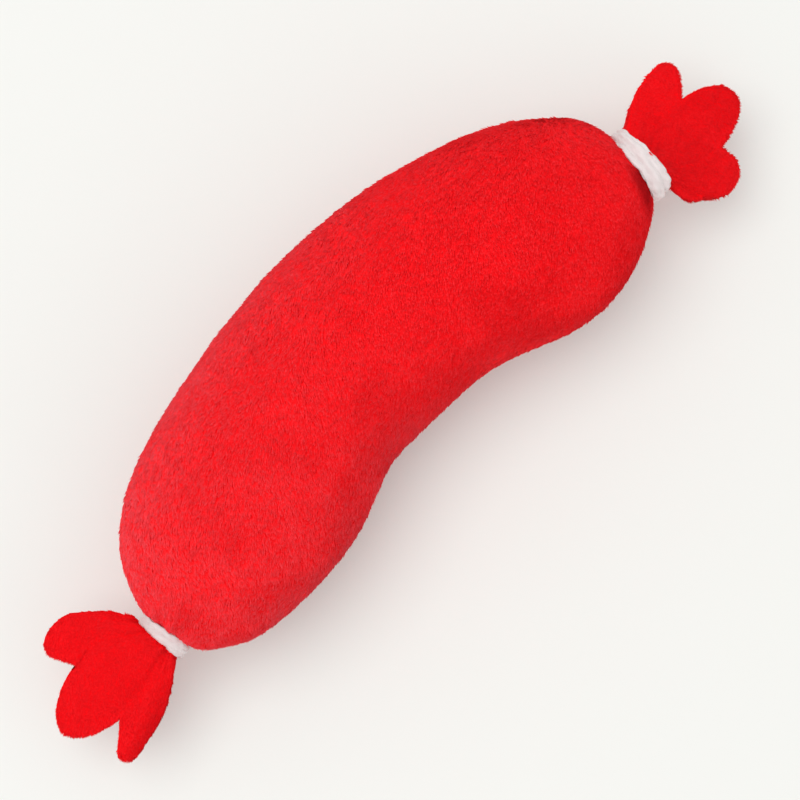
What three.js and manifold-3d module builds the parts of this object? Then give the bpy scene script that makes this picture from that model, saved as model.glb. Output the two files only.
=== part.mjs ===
// A plush sausage toy with a squeaker. Two banana-shaped panels are sewn face to face, turned and
// stuffed round a squeaker in a cloth pouch. A ribbon ties each end into a neck, and past each tie
// the panels open into a frill with three lobes.
// Millimetres, +Z up. The origin is on the floor under the middle of the toy, +X runs along it and
// +Y points to the outside of its bend.

import * as THREE from 'three';
import { mergeVertices } from 'three/addons/utils/BufferGeometryUtils.js';
import Module from 'manifold-3d';

// Driving dimensions of the stuffed body
const tiePlace = 81.2; // middle of the toy to the middle of each tie
const midHalfWidth = 26;
const swellHalfWidth = 27.4;
const domeLength = 36; // length of each rounded end
const heightShare = 0.93; // height of the body over its width
const floorCut = 0.5; // depth by which the underside is pressed flat
const bendTurn = 2.4; // how far the bend's cosine runs from the middle to a tie, in radians
const domePower = 2.2; // 2 is an ellipse, more is fuller
const gatherTurnLength = 7; // stretch before the tie in which the neck takes its own heading

// The two ends, as the photographed toy lies: how far the bend brings the tie to the side, half the
// width of the gathered neck, and the neck's heading off the X axis in degrees
const leftEnd = { sign: -1, drop: 16.4, neckHalfWidth: 5, heading: 9 };
const rightEnd = { sign: 1, drop: 18.6, neckHalfWidth: 7.3, heading: 2 };

// Plush cloth and the seam between the two panels
const clothThickness = 2;
const seamAllowance = 4.5;
const seamNarrowShare = 0.33; // in the narrow ends the seam's edge takes this share of the hollow
const seamDip = 0.9; // how far the seam pulls in from the round of the body
const seamDipWidth = 2.4;
const pleatDepth = 0.7; // gathers at the neck
const pleatReach = 15; // how far the gathers run up the rounded end

// Ribbon ties
const ribbonWidth = 4.2;
const ribbonThickness = 0.6;
const ribbonTurns = 1.9;
const ribbonLap = 0.35; // gap between the ribbon's two turns
const knotHeight = 3.4;
const knotLength = 5.2;
const tailLength = 7;
const tailWidth = 3.2;
const tailRootShare = 0.66; // width of a tail where it leaves the knot
const knotAngle = 250; // degrees round the neck from its outer side, over the top

// Frills: reach past the turning axis, half span, how far the lobes hang, and the fold that turns
// the inner side down: how far it drops, where it starts and how wide it is, across the frill
const frillCloth = 1.7;
const knuckleShare = 0.64; // radius of the frill's rounded root over the neck's half width
const leftFrill = {
  reach: 28.5, halfSpan: 22.6, droop: 3.4, fold: 5.5, foldFromShare: -0.24, foldWidthShare: 0.36,
};
const rightFrill = {
  reach: 25.9, halfSpan: 19.5, droop: 4.2, fold: 5.5, foldFromShare: -0.1, foldWidthShare: 0.9,
};
const wrinkleHeight = 0.7;
const axisPastNeck = 1; // from the neck's end to the axis about which the frill bends
const neckPastTie = 0.9;
const fanPower = 0.6; // under 1 the cloth spreads to the sides soon after the neck
const crowdPower = 1.2; // over 1 the rings of the frill crowd towards its root
const rootFade = 3; // how soon the round root thins out to the cloth
const edgeFromShare = 0.75; // where the cut edge starts to thin, on the way out
const edgeThinShare = 0.4;

// Outlines of the lobes, from the outer side of the bend round to the inner side, as shares of the
// reach and of the half span. Neighbours share the point of the notch between them.
const leftLobeShares = [
  [[-0.05, 0.6], [0.04, 0.76], [0.15, 0.89], [0.34, 1], [0.51, 0.96], [0.53, 0.8], [0.46, 0.52]],
  [[0.46, 0.52], [0.69, 0.54], [0.93, 0.44], [1, 0.3], [0.98, 0.19], [0.77, -0.02], [0.6, -0.14]],
  [[0.6, -0.14], [0.84, -0.29], [0.88, -0.43], [0.71, -0.47], [0.4, -0.43], [0.13, -0.31], [0.03, -0.26]],
];
const rightLobeShares = [
  [[0.03, 0.41], [0.11, 0.52], [0.31, 0.65], [0.58, 0.73], [0.76, 0.69], [0.78, 0.57], [0.59, 0.24]],
  [[0.59, 0.24], [0.81, 0.13], [1, -0.02], [1, -0.27], [0.94, -0.37], [0.73, -0.46], [0.56, -0.52]],
  [[0.56, -0.52], [0.62, -0.8], [0.59, -0.89], [0.5, -0.99], [0.4, -1], [0.18, -0.83], [0.06, -0.7]],
];

// Squeaker: a squat bulb with a side neck that holds the reed
const bulbRadius = 14;
const bulbHalfHeight = 8.5;
const bulbWall = 1;
const bulbNeckRadius = 4.8;
const reedFlange = 1;
const reedTrayLength = 12; // inside the neck and on into the bulb
const reedClampLength = 3.5;
const reedLength = 10.6;
const reedWidth = 3.4;
const reedThickness = 0.25;
const reedChannelWidth = 2.4;
const reedChannelDepth = 1.7;
const reedChannelWall = 1;
const reedGap = 0.25;
const reedSwing = 4.1; // degrees that the tray falls away under the reed

// Pouch of two round cloths sewn at the rim
const pouchHalfLength = 31;
const pouchRim = 4;
const pouchCloth = 0.8;
const pouchEndRoom = 5.2; // inside the pouch, past the flange on the squeaker's neck

// Stuffing wads
const middleWadHalf = 33; // half the length of the wads above and below the squeaker

// Clearances
const clearance = 0.3; // between pieces that touch, and between the two panels at their seam
const plugClearance = 0.2; // reed parts in the bulb's neck
const overrun = 2; // how far a cutting solid runs past what it cuts

// Facets
const barrelSteps = 4;
const domeSteps = 10;
const neckSteps = 3;
const roundSteps = 24;
const cavitySteps = 10;
const pleatsPerPanel = 6;
const seamCrowdShare = 0.08;
const frillRings = 6;
const lobeSteps = 9;
const ribbonStepsPerTurn = 24;
const latheSteps = 20;

const wasm = await Module();
wasm.setup();

// Sizes worked out from the driving dimensions
const gapHalf = clearance / 2;
const tieHalf = ribbonWidth / 2;
const domeEnd = tiePlace - tieHalf - clearance;
const swellPlace = domeEnd - domeLength;
const neckEnd = tiePlace + tieHalf + neckPastTie;
const frillAxis = neckEnd + axisPastNeck;
const gatheredArea = midHalfWidth ** 2 - (midHalfWidth - clothThickness) ** 2;
const lipHeight = gapHalf + clothThickness;
const cavityTip = clothThickness * 2;
const pouchDomeLength = pouchHalfLength - pouchRim;
const pouchDomeHeight = bulbHalfHeight + clearance;
const flangeTo = pouchDomeLength - pouchEndRoom; // places along the neck, from the bulb's centre
const flangeFrom = flangeTo - reedFlange;
const bulbNeckReach = flangeFrom - clearance;
const clampFrom = bulbNeckReach - reedClampLength;
const trayFrom = bulbNeckReach - reedTrayLength;
const boreRadius = bulbNeckRadius - bulbWall;
const plugRadius = boreRadius - plugClearance;

function smooth(t) {
  const c = Math.min(Math.max(t, 0), 1);
  return c * c * (3 - 2 * c);
}

function mix(a, b, t) {
  return a + (b - a) * t;
}

function endOf(x) {
  return x < 0 ? leftEnd : rightEnd;
}

// Half width of the body at a distance s from its middle, towards one end
function halfWidth(end, s) {
  if (s <= swellPlace) {
    return mix(midHalfWidth, swellHalfWidth, (1 - Math.cos((Math.PI * s) / swellPlace)) / 2);
  }
  const t = Math.min((s - swellPlace) / domeLength, 1);
  const dome = swellHalfWidth * Math.sqrt(1 - t ** domePower);
  return Math.hypot(dome, end.neckHalfWidth * t);
}

// Height of the seam plane: the underside is one straight line along the floor
function seamHeight(end, s) {
  return halfWidth(end, Math.min(s, swellPlace)) * heightShare - floorCut;
}

// The spine bends as a cosine and runs on straight past the tie. It returns the section's centre,
// the direction out of the toy's side and the direction along the toy.
function spine(x) {
  const end = endOf(x);
  const s = Math.abs(x);
  const rate = bendTurn / tiePlace;
  const bent = Math.min(s, tiePlace);
  const scale = end.drop / (1 - Math.cos(bendTurn));
  const slope = scale * rate * Math.sin(rate * bent);
  const heading = THREE.MathUtils.degToRad(end.heading);
  const turned = smooth((s - tiePlace + gatherTurnLength) / gatherTurnLength);
  const angle = mix(Math.atan(slope), heading, turned);
  const centre = new THREE.Vector3(end.sign * bent, -scale * (1 - Math.cos(rate * bent)), 0);
  const out = new THREE.Vector3(end.sign * Math.cos(angle), -Math.sin(angle), 0);
  const normal = new THREE.Vector3(end.sign * Math.sin(angle), Math.cos(angle), 0);
  centre.addScaledVector(out, s - bent);
  centre.z = seamHeight(end, s);
  return { centre, out, normal, end, s };
}

// A point of the section at x: p.x to the outer side of the bend, p.y up
function onSection(x, p) {
  const { centre, normal } = spine(x);
  return new THREE.Vector3(p.x * normal.x + centre.x, p.x * normal.y + centre.y, p.y + centre.z);
}

// Closed skin through rings of as many points each, with a flat cap on each end
function loft(rings, capShape) {
  const count = rings[0].length;
  const positions = rings.flat().flatMap((p) => [p.x, p.y, p.z]);
  const index = [];
  for (let i = 0; i + 1 < rings.length; i += 1) {
    for (let j = 0; j < count; j += 1) {
      const a = i * count + j;
      const b = i * count + ((j + 1) % count);
      index.push(a, b, b + count, a, b + count, a + count);
    }
  }
  const last = (rings.length - 1) * count;
  capShape(0).forEach(([a, b, c]) => index.push(a, c, b));
  capShape(rings.length - 1).forEach(([a, b, c]) => index.push(last + a, last + b, last + c));
  const geometry = new THREE.BufferGeometry();
  geometry.setAttribute('position', new THREE.Float32BufferAttribute(positions, 3));
  geometry.setIndex(index);
  return geometry;
}

// Flat cap of an outline, its triangles turned the same way as the outline runs
function capOf(outline) {
  const faces = THREE.ShapeUtils.triangulateShape(outline, []);
  const area = (face) => THREE.ShapeUtils.area(face.map((i) => outline[i]));
  const against = faces.reduce((sum, face) => sum + area(face), 0) * THREE.ShapeUtils.area(outline) < 0;
  return faces.map((face) => (against ? face.toReversed() : face));
}

// Loft along the toy: section(x) gives the flat outline at each station
function loftAlong(stations, section) {
  const outlines = stations.map(section);
  const rings = stations.map((x, i) => outlines[i].map((p) => onSection(x, p)));
  return loft(rings, (i) => capOf(outlines[i]));
}

function signedVolume(geometry) {
  const p = geometry.attributes.position;
  const at = (i) => new THREE.Vector3().fromBufferAttribute(p, geometry.index.getX(i));
  let sum = 0;
  for (let i = 0; i < geometry.index.count; i += 3) {
    sum += at(i).dot(at(i + 1).cross(at(i + 2)));
  }
  return sum;
}

// Merge what lies in one place, and turn the faces outwards
function closed(geometry) {
  const g = geometry.clone();
  Object.keys(g.attributes).forEach((name) => name !== 'position' && g.deleteAttribute(name));
  const merged = mergeVertices(g);
  if (signedVolume(merged) < 0) {
    const order = Array.from(merged.index.array);
    merged.setIndex(order.reverse());
  }
  return merged;
}

function solid(geometry) {
  const g = closed(geometry);
  return new wasm.Manifold(new wasm.Mesh({
    numProp: 3,
    vertProperties: Float32Array.from(g.attributes.position.array),
    triVerts: Uint32Array.from(g.index.array),
  }));
}

function geometryOf(body) {
  const mesh = body.getMesh();
  const geometry = new THREE.BufferGeometry();
  geometry.setAttribute('position', new THREE.BufferAttribute(mesh.vertProperties, 3));
  geometry.setIndex(new THREE.BufferAttribute(mesh.triVerts, 1));
  return geometry;
}

// Stations along the toy, closer together where an end rounds off
function bodyStations(from, to) {
  const half = [];
  for (let i = 1; i <= barrelSteps; i += 1) {
    half.push((swellPlace * i) / barrelSteps);
  }
  for (let i = 1; i <= domeSteps; i += 1) {
    half.push(swellPlace + domeLength * Math.sin((Math.PI / 2) * (i / domeSteps)));
  }
  for (let i = 1; i <= neckSteps; i += 1) {
    half.push(mix(domeEnd, neckEnd, i / neckSteps));
  }
  const all = [...half.map((s) => -s).reverse(), 0, ...half];
  return [from, ...all.filter((x) => x > from && x < to), to];
}

// Half of the body's outline, above (side 1) or below (side -1) the seam
function panelSection(x, side) {
  const { end, s } = spine(x);
  const a = halfWidth(end, s);
  const b = a * heightShare;
  const gather = smooth((s - domeEnd + pleatReach) / pleatReach);
  const points = [];
  for (let j = 0; j <= roundSteps; j += 1) {
    const u = j / roundSteps;
    const angle = Math.PI * u - seamCrowdShare * Math.PI * Math.sin(2 * Math.PI * u);
    const fromSeam = (a * Math.sin(angle)) / seamDipWidth;
    const dip = Math.min(seamDip, a * seamCrowdShare) * Math.exp(-fromSeam * fromSeam);
    const pleat = gather * pleatDepth * Math.cos(2 * Math.PI * pleatsPerPanel * u) * Math.sin(angle);
    const wide = (a - dip + pleat) * Math.cos(angle);
    const high = gapHalf + (b - gapHalf + pleat) * Math.sin(angle);
    points.push(new THREE.Vector2(wide, side * high));
  }
  return points;
}

// The cloth keeps its amount, so its wall thickens as the body is gathered
function cavityHalfWidth(end, s) {
  return Math.sqrt(Math.max(halfWidth(end, s) ** 2 - gatheredArea, 0));
}

// Sizes of the hollow at x, drawn in by inset: half width, half height, and the seam's turned-in edge
function cavitySizes(x, inset) {
  const { end, s } = spine(x);
  const a = cavityHalfWidth(end, s);
  const wide = a - inset;
  const high = a * heightShare - inset;
  const lip = lipHeight + inset;
  const rise = Math.asin(Math.min(lip / high, 1));
  const inner = wide * Math.cos(rise) - Math.min(seamAllowance, a * seamNarrowShare);
  return { wide, high, lip, rise, inner };
}

// Arc of the hollow over (side 1) or under (side -1) the seam's edges, and the step round them
function cavityHalf(x, inset, side, base) {
  const { wide, high, lip, rise, inner } = cavitySizes(x, inset);
  const points = [new THREE.Vector2(inner, side * base), new THREE.Vector2(inner, side * lip)];
  for (let j = 0; j <= cavitySteps; j += 1) {
    const angle = mix(rise, Math.PI - rise, j / cavitySteps);
    points.push(new THREE.Vector2(wide * Math.cos(angle), side * high * Math.sin(angle)));
  }
  points.push(new THREE.Vector2(-inner, side * lip), new THREE.Vector2(-inner, side * base));
  return points;
}

function cavityWhole(x, inset) {
  const upper = cavityHalf(x, inset, 1, 0).slice(1, -1);
  const lower = cavityHalf(x, inset, -1, 0).slice(1, -1).reverse();
  return [...upper, ...lower];
}

// How far out the hollow reaches at an end, before the gathered cloth closes it
function cavityReach(end) {
  const outer = bodyStations(-neckEnd, neckEnd).filter((x) => Math.sign(x) === end.sign);
  const open = outer.filter((x) => cavityHalfWidth(end, Math.abs(x)) > cavityTip);
  return Math.max(...open.map(Math.abs));
}

function box(x0, x1, y0, y1, z0, z1) {
  const g = new THREE.BoxGeometry(x1 - x0, y1 - y0, z1 - z0);
  return g.translate((x0 + x1) / 2, (y0 + y1) / 2, (z0 + z1) / 2);
}

// Frame at the axis about which an end's frill bends: x out of the toy, y across, z up
function frillFrame(end) {
  const { centre, out, normal } = spine(end.sign * frillAxis);
  return new THREE.Matrix4().makeBasis(out, normal, new THREE.Vector3(0, 0, 1)).setPosition(centre);
}

function knuckleRadius(end) {
  return end.neckHalfWidth * knuckleShare;
}

// Round hollow in a neck's end, in which the frill's root turns
function socket(end) {
  const across = 2 * (end.neckHalfWidth + overrun);
  const radius = knuckleRadius(end) + clearance;
  const g = new THREE.CylinderGeometry(radius, radius, across, latheSteps);
  return solid(g.applyMatrix4(frillFrame(end)));
}

function casing(side) {
  const shell = solid(loftAlong(bodyStations(-neckEnd, neckEnd), (x) => panelSection(x, side)));
  const from = -cavityReach(leftEnd);
  const hollow = solid(loftAlong(bodyStations(from, cavityReach(rightEnd)), (x) => cavityWhole(x, 0)));
  const below = solid(box(-neckEnd, neckEnd, -neckEnd, neckEnd, -floorCut - overrun, 0));
  return geometryOf(shell.subtract(hollow).subtract(below)
    .subtract(socket(leftEnd)).subtract(socket(rightEnd)));
}

// Stuffing at one end, from the middle wads to the gathered cloth
function endStuffing(end) {
  const near = end.sign * (middleWadHalf + gapHalf);
  const tip = end.sign * cavityReach(end);
  const far = tip - end.sign * clearance;
  const stations = bodyStations(Math.min(near, far), Math.max(near, far));
  return closed(loftAlong(stations, (x) => cavityWhole(x === far ? tip : x, clearance)));
}

// Pouch outline in the plane of the lathe: radius out, height up, from a dome with a flat rim
function domeLine(radius, height, floor) {
  const points = [];
  const last = Math.acos(Math.min(floor / height, 1));
  for (let i = 0; i <= cavitySteps / 2; i += 1) {
    const angle = (last * i) / (cavitySteps / 2);
    points.push(new THREE.Vector2(radius * Math.sin(angle), height * Math.cos(angle)));
  }
  return points;
}

const pouchHalfWidth = cavitySizes(0, clearance).inner - clearance;

function turned(points) {
  const lathe = new THREE.LatheGeometry(points, latheSteps).rotateX(Math.PI / 2);
  return lathe.scale(1, pouchHalfWidth / pouchHalfLength, 1).translate(0, 0, seamHeight(rightEnd, 0));
}

function pouchHalf(side) {
  const inner = domeLine(pouchDomeLength, pouchDomeHeight, gapHalf);
  const top = gapHalf + pouchCloth;
  const outer = domeLine(pouchDomeLength + pouchCloth, pouchDomeHeight + pouchCloth, top).reverse();
  const rim = [new THREE.Vector2(pouchHalfLength, gapHalf), new THREE.Vector2(pouchHalfLength, top)];
  const line = [...inner, ...rim, ...outer].map((p) => new THREE.Vector2(p.x, side * p.y));
  return closed(turned(line));
}

// Space that the pouch takes in the stuffing
function pouchSpace() {
  const top = gapHalf + pouchCloth + clearance;
  const dome = domeLine(pouchDomeLength + top, pouchDomeHeight + pouchCloth + clearance, top);
  const reach = pouchHalfLength + clearance;
  const upper = [...dome, new THREE.Vector2(Math.max(reach, dome.at(-1).x + clearance), top)];
  const lower = upper.map((p) => new THREE.Vector2(p.x, -p.y)).reverse();
  return solid(turned([...upper, ...lower]));
}

function middleStuffing(side) {
  const half = middleWadHalf - gapHalf;
  const wad = solid(loftAlong(bodyStations(-half, half), (x) => cavityHalf(x, clearance, side, gapHalf)));
  return geometryOf(wad.subtract(pouchSpace()));
}

// Bulb and reed are made about the bulb's centre, with the neck along +X
function aboutBulb(geometry) {
  return geometry.translate(0, 0, seamHeight(rightEnd, 0));
}

function neckTube(radius, from, to) {
  const g = new THREE.CylinderGeometry(radius, radius, to - from, latheSteps).rotateZ(Math.PI / 2);
  return g.translate((from + to) / 2, 0, 0);
}

function squatBall(radius, halfHeight) {
  return new THREE.SphereGeometry(1, latheSteps, cavitySteps).rotateX(Math.PI / 2)
    .scale(radius, radius, halfHeight);
}

function squeakerBulb() {
  const neckRoot = bulbRadius - bulbNeckRadius;
  const outer = solid(squatBall(bulbRadius, bulbHalfHeight))
    .add(solid(neckTube(bulbNeckRadius, neckRoot, bulbNeckReach)));
  const inner = solid(squatBall(bulbRadius - bulbWall, bulbHalfHeight - bulbWall))
    .add(solid(neckTube(boreRadius, neckRoot - bulbWall, bulbNeckReach + overrun)));
  return aboutBulb(geometryOf(outer.subtract(inner)));
}

// Half of the plug in the neck, on one side of the reed, with its half of the flange
function plugHalf(from, side) {
  const plane = side * (reedThickness / 2 + reedGap);
  const away = side * (bulbNeckRadius + overrun);
  const plug = solid(neckTube(plugRadius, from, (flangeFrom + flangeTo) / 2))
    .add(solid(neckTube(bulbNeckRadius, flangeFrom, flangeTo)));
  const keep = box(from - overrun, flangeTo + overrun, -bulbNeckRadius - overrun, bulbNeckRadius + overrun,
    Math.min(plane, away), Math.max(plane, away));
  return plug.intersect(solid(keep));
}

// The tray carries the air channel, and its rim falls away so that the reed can swing down
function reedTray() {
  const plane = -(reedThickness / 2 + reedGap);
  const half = reedChannelWidth / 2;
  const channel = box(trayFrom + reedChannelWall, flangeTo + overrun, -half, half,
    plane - reedChannelDepth, plane + overrun);
  const wedgeLength = clampFrom - trayFrom + overrun;
  const wedge = box(-wedgeLength, 0, -plugRadius - overrun, plugRadius + overrun, 0, plugRadius);
  wedge.rotateY(-THREE.MathUtils.degToRad(reedSwing)).translate(clampFrom, 0, plane);
  return aboutBulb(geometryOf(plugHalf(trayFrom, -1).subtract(solid(channel)).subtract(solid(wedge))));
}

function reedClamp() {
  return aboutBulb(geometryOf(plugHalf(clampFrom, 1)));
}

function reedBlade() {
  const to = bulbNeckReach;
  const half = reedThickness / 2;
  return aboutBulb(box(to - reedLength, to, -reedWidth / 2, reedWidth / 2, -half, half));
}

// Ribbon wound round the neck: a flat section swept along a spiral, closing with a knot
function tieFrame(end) {
  const { centre, out, normal } = spine(end.sign * tiePlace);
  return new THREE.Matrix4().makeBasis(out, normal, new THREE.Vector3(0, 0, 1)).setPosition(centre);
}

function ribbonRadius(end, turns) {
  const rise = turns * (ribbonThickness + ribbonLap);
  const wide = end.neckHalfWidth + pleatDepth + clearance + rise;
  const high = end.neckHalfWidth * heightShare + pleatDepth + clearance + rise;
  return { wide, high };
}

function ribbonAngle(turns) {
  return THREE.MathUtils.degToRad(knotAngle) - 2 * Math.PI * (ribbonTurns - turns);
}

function ribbonPoint(end, turns, across, out) {
  const { wide, high } = ribbonRadius(end, turns);
  const angle = ribbonAngle(turns);
  return new THREE.Vector3(across, (wide + out) * Math.cos(angle), (high + out) * Math.sin(angle));
}

function ribbonWinding(end) {
  const steps = Math.round(ribbonStepsPerTurn * ribbonTurns);
  const rings = [];
  for (let i = 0; i <= steps; i += 1) {
    const turns = (ribbonTurns * i) / steps;
    rings.push([
      ribbonPoint(end, turns, -tieHalf, 0),
      ribbonPoint(end, turns, tieHalf, 0),
      ribbonPoint(end, turns, tieHalf, ribbonThickness),
      ribbonPoint(end, turns, -tieHalf, ribbonThickness),
    ]);
  }
  return loft(rings, () => [[0, 1, 2], [0, 2, 3]]);
}

// The knot lies on the last turn, its length along the ribbon
function knot(end) {
  const at = ribbonPoint(end, ribbonTurns, 0, knotHeight / 2);
  const lump = new THREE.SphereGeometry(1, latheSteps / 2, cavitySteps / 2);
  lump.scale(tieHalf, knotHeight / 2, knotLength / 2).rotateX(ribbonAngle(ribbonTurns));
  return lump.translate(at.x, at.y, at.z);
}

// Two tails hang from the knot and spread a little
function tail(end, lean) {
  const from = ribbonPoint(end, ribbonTurns, 0, knotHeight / 2);
  const rings = [];
  for (let i = 0; i <= neckSteps; i += 1) {
    const t = i / neckSteps;
    const half = (mix(tailRootShare, 1, t) * tailWidth) / 2;
    const mid = new THREE.Vector3(
      ((lean - 1) / 2) * ribbonThickness * t * t,
      from.y - ribbonWidth * lean * t * t,
      from.z - tailLength * t,
    );
    const thick = ribbonThickness / 2;
    rings.push([[-half, -thick], [half, -thick], [half, thick], [-half, thick]]
      .map(([x, y]) => new THREE.Vector3(mid.x + x, mid.y + y, mid.z)));
  }
  return loft(rings, () => [[0, 1, 2], [0, 2, 3]]);
}

function tie(end) {
  const parts = [knot(end), tail(end, 1), tail(end, -1)].map(solid);
  const body = parts.reduce((sum, part) => sum.add(part), solid(ribbonWinding(end)));
  return geometryOf(body).applyMatrix4(tieFrame(end));
}

// A frill's outline: a smooth curve round each lobe, with sharp notches between them
function frillEdge(frill, lobeShares) {
  const edge = [];
  lobeShares.forEach((lobe) => {
    const points = lobe.map(([x, y]) => new THREE.Vector2(x * frill.reach, y * frill.halfSpan));
    const curve = new THREE.SplineCurve(points).getSpacedPoints(lobeSteps);
    edge.push(...curve.slice(edge.length > 0 ? 1 : 0));
  });
  return edge;
}

// Grid of a frill: the cloth fans out from the root, droops, folds down on its inner side and
// wrinkles where it was gathered. Each point has its middle height and half thickness.
function frillGrid(end, frill, lobeShares) {
  const edge = frillEdge(frill, lobeShares);
  const rootHalf = end.neckHalfWidth - clearance;
  const rootRadius = knuckleRadius(end);
  const thin = frillCloth + gapHalf;
  const rows = [];
  for (let i = 0; i <= frillRings; i += 1) {
    const u = i / frillRings;
    rows.push(edge.map((tip, j) => {
      const v = j / (edge.length - 1);
      const rootY = mix(rootHalf, -rootHalf, v);
      const x = tip.x * u ** crowdPower;
      const y = mix(rootY, tip.y, u ** fanPower);
      const foldFrom = frill.foldFromShare * frill.halfSpan;
      const folded = smooth((foldFrom - y) / (frill.foldWidthShare * frill.halfSpan)) * frill.fold;
      const ripple = wrinkleHeight * Math.sin(Math.PI * u) * Math.cos(2 * Math.PI * pleatsPerPanel * v);
      const beside = smooth(Math.abs(y) / rootHalf - 1 / 2);
      const near = (1 - beside) * Math.exp(-((x / rootRadius) ** 2) - (u * rootFade) ** 2);
      const thinned = smooth((u - edgeFromShare) / (1 - edgeFromShare)) * frillCloth * edgeThinShare;
      const half = mix(thin, rootRadius - gapHalf, near) - thinned;
      return { x, y, mid: ripple - (frill.droop + folded) * u * u, half };
    }));
  }
  return rows;
}

// Rounded root of one layer: it turns in the neck's hollow, and is no wider than the neck
function frillRoot(end, side) {
  const wide = end.neckHalfWidth - clearance;
  const radius = knuckleRadius(end);
  const reach = radius + overrun;
  const knuckle = solid(new THREE.CylinderGeometry(radius, radius, 2 * wide, latheSteps));
  const bundle = new THREE.CylinderGeometry(1, 1, 2 * reach, latheSteps).rotateZ(Math.PI / 2);
  bundle.scale(1, wide, wide * heightShare);
  const low = Math.min(side * gapHalf, side * reach);
  const high = Math.max(side * gapHalf, side * reach);
  const layer = box(-reach, clearance, -wide - overrun, wide + overrun, low, high);
  return knuckle.intersect(solid(bundle)).intersect(solid(layer));
}

// One layer of a frill, upper (side 1) or lower (side -1), with its half of the rounded root
function frillLayer(end, frill, lobeShares, side) {
  const rows = frillGrid(end, frill, lobeShares);
  const count = rows[0].length;
  const rings = rows.map((row) => {
    const inner = row.map((p) => new THREE.Vector3(p.x, p.y, p.mid + side * gapHalf));
    const outer = row.map((p) => new THREE.Vector3(p.x, p.y, p.mid + side * p.half));
    return [...inner, ...outer.reverse()];
  });
  const strip = [];
  for (let j = 0; j + 1 < count; j += 1) {
    const far = 2 * count - 1 - j;
    strip.push([j, j + 1, far - 1], [j, far - 1, far]);
  }
  const sheet = solid(loft(rings, () => strip));
  return geometryOf(sheet.add(frillRoot(end, side))).applyMatrix4(frillFrame(end));
}

function finish(colour, roughness) {
  return new THREE.MeshStandardMaterial({ color: colour, roughness, metalness: 0 });
}

const plush = () => finish(0xf0202c, 0.95);
const ribbon = () => finish(0xf3e1e1, 0.7);
const fibre = () => finish(0xf4f2ec, 1);
const pouchClothFinish = () => finish(0xe9e6dd, 0.9);
const bulbPlastic = () => finish(0xf1efe8, 0.45);
const reedPlastic = () => finish(0xd8dde2, 0.4);
const reedFilm = () => finish(0xc9c4a8, 0.3);

const toy = new THREE.Group();

function add(name, geometry, material) {
  const mesh = new THREE.Mesh(closed(geometry), material);
  mesh.geometry.computeVertexNormals();
  mesh.name = name;
  toy.add(mesh);
}

add('upper_casing', casing(1), plush());
add('lower_casing', casing(-1), plush());
add('stuffing_left', endStuffing(leftEnd), fibre());
add('stuffing_right', endStuffing(rightEnd), fibre());
add('stuffing_over', middleStuffing(1), fibre());
add('stuffing_under', middleStuffing(-1), fibre());
add('pouch_upper_cloth', pouchHalf(1), pouchClothFinish());
add('pouch_lower_cloth', pouchHalf(-1), pouchClothFinish());
add('squeaker_bulb', squeakerBulb(), bulbPlastic());
add('reed_tray', reedTray(), reedPlastic());
add('reed_clamp', reedClamp(), reedPlastic());
add('reed_blade', reedBlade(), reedFilm());
add('left_tie', tie(leftEnd), ribbon());
add('right_tie', tie(rightEnd), ribbon());
add('left_frill_upper', frillLayer(leftEnd, leftFrill, leftLobeShares, 1), plush());
add('left_frill_lower', frillLayer(leftEnd, leftFrill, leftLobeShares, -1), plush());
add('right_frill_upper', frillLayer(rightEnd, rightFrill, rightLobeShares, 1), plush());
add('right_frill_lower', frillLayer(rightEnd, rightFrill, rightLobeShares, -1), plush());

export default toy;
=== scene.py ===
# %% [markdown]
# This lesson dresses a plush sausage toy. Two banana-shaped panels of short-pile plush are sewn
# face to face, turned and stuffed round a squeaker. A satin ribbon ties each end, and past each tie
# the panels open into a frill with three lobes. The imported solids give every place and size. Here
# we model the stuffed cloth, its pile, the ribbons, the thread and what is inside, and light them.

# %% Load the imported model
import math

import bmesh
import bpy
import numpy as np
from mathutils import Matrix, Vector, noise


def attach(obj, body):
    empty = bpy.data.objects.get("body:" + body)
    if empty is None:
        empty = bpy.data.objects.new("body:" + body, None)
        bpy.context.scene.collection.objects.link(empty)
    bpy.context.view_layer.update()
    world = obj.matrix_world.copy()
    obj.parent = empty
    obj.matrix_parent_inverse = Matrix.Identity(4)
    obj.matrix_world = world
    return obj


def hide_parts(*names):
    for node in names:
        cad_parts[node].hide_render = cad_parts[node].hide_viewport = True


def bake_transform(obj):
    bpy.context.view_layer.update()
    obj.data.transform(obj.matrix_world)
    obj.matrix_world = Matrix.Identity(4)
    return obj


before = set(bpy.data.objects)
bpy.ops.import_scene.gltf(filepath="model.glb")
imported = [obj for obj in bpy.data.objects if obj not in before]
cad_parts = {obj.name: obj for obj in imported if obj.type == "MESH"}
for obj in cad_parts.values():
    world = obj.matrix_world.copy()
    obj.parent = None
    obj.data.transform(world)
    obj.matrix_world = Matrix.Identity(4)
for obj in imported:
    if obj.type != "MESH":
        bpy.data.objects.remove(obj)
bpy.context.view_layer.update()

print("packed model:", sorted(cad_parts))

# %% [markdown]
# Lengths are written in millimetres, as on the maker's drawing, and become metres when a mesh is
# made. The body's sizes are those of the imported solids, because the cloth has to lie on them.

# %% Sizes of the stuffed body
METRES = 0.001
TIE_PLACE = 81.2
MID_HALF_WIDTH = 26
SWELL_HALF_WIDTH = 27.4
DOME_LENGTH = 36
HEIGHT_SHARE = 0.93
FLOOR_CUT = 0.5
BEND_TURN = 2.4
DOME_POWER = 2.2
GATHER_TURN_LENGTH = 7
RIBBON_HALF = 2.1
DOME_END = TIE_PLACE - RIBBON_HALF - 0.3
SWELL_PLACE = DOME_END - DOME_LENGTH
FRILL_AXIS = TIE_PLACE + 4

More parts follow.
